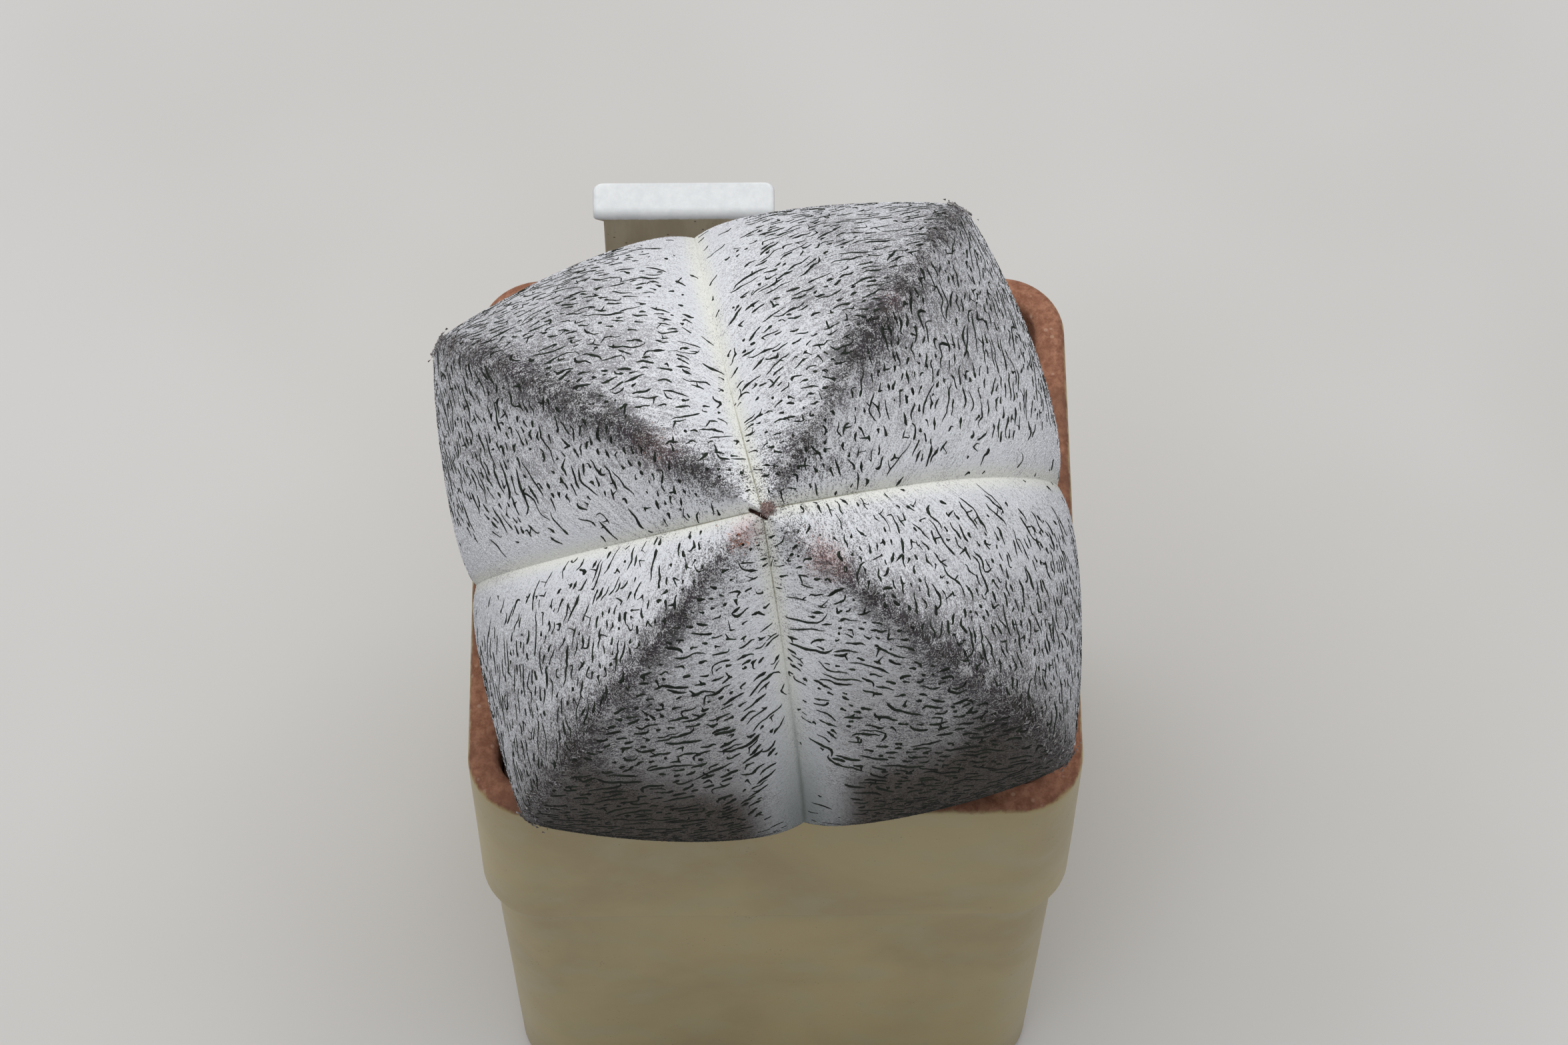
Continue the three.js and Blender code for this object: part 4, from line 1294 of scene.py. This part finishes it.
def foot_reach(angle):
    """How far the plant stands out from its foot's middle at the soil, for each angle round it."""
    turn = np.linspace(0, FLANKS, 161)[:-1]
    polar = np.linspace(QUARTER, math.pi, 400)
    places = skin(turn[:, None], polar[None, :])
    low = np.argmin(np.abs(places[..., 2] - SOIL_LEVEL - 1.5 * MM), axis=1)
    ring = places[np.arange(len(turn)), low][:, :2] - (FOOT_X, 0)
    bearing = np.arctan2(ring[:, 1], ring[:, 0])
    order = np.argsort(bearing)
    return np.interp(angle, bearing[order], np.hypot(*ring[order].T), period=2 * math.pi)


def grit_mesh(draw):
    """Grains strewn over the soil, clear of the plant's foot and the label. Each is an icosahedron whose
    corners are moved by chance, squashed, turned about a random axis and sunk to a third of its height."""
    x, y = draw.uniform(-CAVITY_HALF, CAVITY_HALF, (2, GRAIN_COUNT))
    size = mix(*GRAIN_SIZE, draw.random(GRAIN_COUNT) ** 3.2)
    clear = np.hypot(x - FOOT_X, y) > foot_reach(np.arctan2(y, x - FOOT_X)) + 0.6 * size
    off_label = np.abs([x - LABEL_CENTRE[0], y - LABEL_CENTRE[1]]) - size / 2
    clear &= (off_label[0] > 10 * MM) | (off_label[1] > 0.9 * MM)
    x, y, size = (v[clear] for v in (x, y, size))
    count = len(x)
    corners, faces = twenty_faces()
    shapes = corners[None] * draw.uniform(0.8, 1.15, (count, 12, 1))
    shapes = shapes * draw.uniform(0.65, 1.0, (count, 1, 3)) * size[:, None, None] / 2
    basis = np.linalg.qr(draw.normal(0, 1, (count, 3, 3)))[0]
    basis *= np.sign(np.linalg.det(basis))[:, None, None]
    shapes = shapes @ basis
    shapes += np.stack([x, y, SOIL_LEVEL + 0.16 * size], -1)[:, None, :]
    kind = draw.choice(len(GRAIN_TINTS), count, p=GRAIN_SHARES)
    tint = GRAIN_TINTS[kind] * draw.uniform(0.7, 1.25, (count, 1))
    tint = np.column_stack([np.repeat(tint, 12, 0), np.ones(12 * count)])
    return shapes.reshape(-1, 3), (faces + np.arange(count)[:, None, None] * 12).reshape(-1, 3), tint


frame["nodes"]["soil"].data.materials[0] = soil_material()
grain_places, grain_faces, grain_tint = grit_mesh(np.random.default_rng(41))
grain_tints = {"grain_tint": grain_tint}
add_piece("loose_grains", grain_places, [grain_faces], grain_material(), grain_tints)


# The label: a thin moulded plate pushed into the soil behind the plant. Its narrower stem is olive
# brown, and its white head is bent back to face upwards.
LABEL_HEAD_HALF = 10.35 * MM
LABEL_STEM_HALF = 9.2 * MM
LABEL_HEAD_LENGTH = 3.3 * MM
LABEL_SLOPE = math.radians(30)
LABEL_THICK = 1 * MM
LABEL_BEND = POT_HEIGHT + 25.2 * MM
LABEL_TIP = SOIL_LEVEL - 26 * MM
LABEL_POINT = 9 * MM
LABEL_BEND_RADIUS = 0.9 * MM
LABEL_CORNER = 1 * MM
LABEL_STEP = 0.8 * MM
LABEL_OLIVE_EDGE = 1.2 * MM


def label_rows():
    """Along the plate's middle line, from the tip in the soil to the head's edge: place across and up,
    slope, half width and how far it belongs to the head. A straight stem, an arc and a straight head follow
    each other, and the half width grows from the point, steps out under the bend and rounds off at the end
    by a quarter circle."""
    arc_angle = QUARTER - LABEL_SLOPE
    arc_start = LABEL_BEND - LABEL_BEND_RADIUS * math.tan(arc_angle / 2)
    step_start = arc_start - LABEL_STEP
    stem = np.concatenate([
        np.linspace(LABEL_TIP, LABEL_TIP + LABEL_POINT, 10),
        np.linspace(LABEL_TIP + LABEL_POINT, step_start, 30)[1:],
        np.linspace(step_start, arc_start, 6)[1:],
    ])
    bend = np.linspace(0, arc_angle, 9)[1:]
    straight = LABEL_HEAD_LENGTH - LABEL_BEND_RADIUS * math.tan(arc_angle / 2)
    flat = straight - LABEL_CORNER
    rounding = np.linspace(0, QUARTER, 9)[1:]
    head = np.concatenate([np.linspace(0, flat, 6)[1:], flat + LABEL_CORNER * np.sin(rounding)])
    slope = np.concatenate([0 * stem + QUARTER, QUARTER - bend, 0 * head + LABEL_SLOPE])
    arc_y = LABEL_CENTRE[1] + LABEL_BEND_RADIUS * (1 - np.cos(bend))
    arc_z = arc_start + LABEL_BEND_RADIUS * np.sin(bend)
    y = np.concatenate([0 * stem + LABEL_CENTRE[1], arc_y, arc_y[-1] + head * math.cos(LABEL_SLOPE)])
    z = np.concatenate([stem, arc_z, arc_z[-1] + head * math.sin(LABEL_SLOPE)])
    pointed = mix(LABEL_STEM_HALF / 4, LABEL_STEM_HALF, np.clip((stem - LABEL_TIP) / LABEL_POINT, 0, 1))
    widened = pointed + (LABEL_HEAD_HALF - LABEL_STEM_HALF) * grows(stem, step_start, LABEL_STEP)
    rounded = LABEL_HEAD_HALF - np.concatenate([np.zeros(5), LABEL_CORNER * (1 - np.cos(rounding))])
    half = np.concatenate([widened, 0 * bend + LABEL_HEAD_HALF, rounded])
    belongs = ease((z - arc_start + LABEL_STEP) / LABEL_OLIVE_EDGE)
    return y, z, slope, half, belongs


def label_piece():
    """The plate as rows of a flat loop with rounded edges, carried along its middle line and closed at both
    ends."""
    y, z, slope, half, belongs = label_rows()
    arc = np.linspace(-QUARTER, QUARTER, 7)
    squared = np.stack([np.cos(arc) ** 0.6, np.sign(np.sin(arc)) * np.abs(np.sin(arc)) ** 0.6], -1)
    span = np.linspace(-1, 1, 9)[1:-1]
    edge = LABEL_THICK / 2
    inner = half[:, None] - edge
    level = 0 * half[:, None]
    right = np.stack([inner + edge * squared[:, 0], level + edge * squared[:, 1]], -1)
    top = np.stack([-inner * span, level * span + edge], -1)
    loop = np.concatenate([right, top, -right, -top], 1)
    out = np.stack([0 * slope, -np.sin(slope), np.cos(slope)], -1)
    middle = np.stack([0 * y + LABEL_CENTRE[0], y, z], -1)
    places = middle[:, None] + loop[..., :1] * np.array([1, 0, 0]) + loop[..., 1:] * out[:, None]
    rows, columns = places.shape[:2]
    ring = np.arange(columns)
    following = (ring + 1) % columns
    start, end = rows * columns, rows * columns + 1
    top_ring = (rows - 1) * columns
    return add_piece(
        "bent_label",
        np.concatenate([places.reshape(-1, 3), middle[[0, -1]]]),
        [
            grid_faces(rows, columns, True)[:, ::-1],
            np.stack([ring, following, 0 * ring + start], -1),
            np.stack([top_ring + following, top_ring + ring, 0 * ring + end], -1),
        ],
        label_material(),
        {"head": np.concatenate([np.repeat(belongs, columns), [0, 1]])},
    )


def label_material():
    """Satin plastic: a white head, and a stem that is olive brown in runs and specks."""
    material, wire = new_material("white_and_olive_label_plastic")
    place = wire.objects()
    head = wire.attribute("head")
    drawn_out = {"Vector": place, "Scale": (420.0, 420.0, 90.0)}
    runs = place.node("ShaderNodeMapping", None, drawn_out).noise(1.0, 4.0, 0.65)
    fine = place.noise(900.0, 4.0, 0.7)
    head_white = fine.step(0.3, 0.7).blend((0.74, 0.76, 0.775, 1), (0.82, 0.84, 0.85, 1))
    olive_stem = runs.step(0.3, 0.7).blend((0.44, 0.37, 0.25, 1), (0.55, 0.475, 0.34, 1))
    olive_stem = place.cells(800.0).step(0.14, 0.05).blend(olive_stem, (0.12, 0.08, 0.05, 1))
    wire.surface({
        "Base Color": (head + (fine - 0.5) * 0.5).step(0.35, 0.6).blend(olive_stem, head_white),
        "Roughness": 0.62 - head * 0.22 + (fine - 0.5) * 0.2,
        "Normal": wire.bump(fine * 0.4 + runs * 0.6, 0.05 * MM, 0.5),
    })
    return material


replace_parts(label_piece(), "plant_label")


# Floor, light and camera: a plain pale floor, one broad soft light high behind the plant, and the camera
# that looks down on it.
CAMERA_AZIMUTH = -1.0
CAMERA_ELEVATION = 62.7
CAMERA_DISTANCE = 506 * MM
CAMERA_ROLL = 0.5
CAMERA_SHIFT = (1.2 * MM, 1.5 * MM)
LENS = 100
LIGHT_PLACE = (-0.08, 0.19, 1.39)
LIGHT_WIDTH = 1.7
LIGHT_POWER = 23.2
LIGHT_COLOUR = (1.0, 1.0, 0.99)
SKY_COLOUR = (0.93, 0.95, 1.0, 1)
SKY_STRENGTH = 0.18
FLOOR_REACH = 4.0


def photo_camera():
    """A camera that looks at the middle of the pot's rim from a bearing and a height, rolled and slid a
    little."""
    azimuth, elevation, roll = (math.radians(v) for v in (CAMERA_AZIMUTH, CAMERA_ELEVATION, CAMERA_ROLL))
    level = math.cos(elevation)
    back = Vector((math.sin(azimuth) * level, -math.cos(azimuth) * level, math.sin(elevation)))
    right = Vector((math.cos(azimuth), math.sin(azimuth), 0))
    above = back.cross(right)
    turned_right = right * math.cos(roll) + above * math.sin(roll)
    turned_above = above * math.cos(roll) - right * math.sin(roll)
    aim = Vector((0, 0, POT_HEIGHT)) + turned_right * CAMERA_SHIFT[0] + turned_above * CAMERA_SHIFT[1]
    data = bpy.data.cameras.new("camera")
    data.lens = LENS
    data.sensor_width = 36
    data.clip_start = 0.01
    data.clip_end = 100
    camera = bpy.data.objects.new("camera", data)
    bpy.context.scene.collection.objects.link(camera)
    turned = Matrix((turned_right, turned_above, back)).transposed().to_4x4()
    camera.matrix_world = Matrix.Translation(aim + back * CAMERA_DISTANCE) @ turned
    bpy.context.scene.camera = camera


def window_light(name, place, width, power, colour):
    """A square soft light at a place, turned to the plant."""
    data = bpy.data.lights.new(name, "AREA")
    data.size = width
    data.energy = power
    data.color = colour
    light = bpy.data.objects.new(name, data)
    bpy.context.scene.collection.objects.link(light)
    target = Vector((0, 0, POT_HEIGHT))
    light.location = place
    light.rotation_euler = (Vector(place) - target).to_track_quat("Z", "Y").to_euler()


def floor_piece():
    """A flat square floor, well past the light's reach."""
    material, wire = new_material("pale_floor")
    cloud = wire.objects().noise(6.0, 3.0)
    wire.surface({
        "Base Color": cloud.step(0.35, 0.65).blend((0.60, 0.585, 0.57, 1), (0.64, 0.63, 0.62, 1)),
        "Roughness": 0.9,
        "Specular IOR Level": 0.1,
    })
    mesh = bpy.data.meshes.new("floor")
    reach = FLOOR_REACH
    corners = [(-reach, -reach, 0), (reach, -reach, 0), (reach, reach, 0), (-reach, reach, 0)]
    mesh.from_pydata(corners, [], [(0, 1, 2, 3)])
    mesh.materials.append(material)
    floor = bpy.data.objects.new("floor", mesh)
    bpy.context.scene.collection.objects.link(floor)


def sky():
    """An even pale surround."""
    world = bpy.data.worlds.new("surround")
    world.use_nodes = True
    shade = world.node_tree.nodes["Background"]
    shade.inputs["Color"].default_value = SKY_COLOUR
    shade.inputs["Strength"].default_value = SKY_STRENGTH
    bpy.context.scene.world = world


floor_piece()
sky()
window_light("roof_light", LIGHT_PLACE, LIGHT_WIDTH, LIGHT_POWER, LIGHT_COLOUR)
photo_camera()
bpy.context.scene.view_settings.view_transform = "Standard"
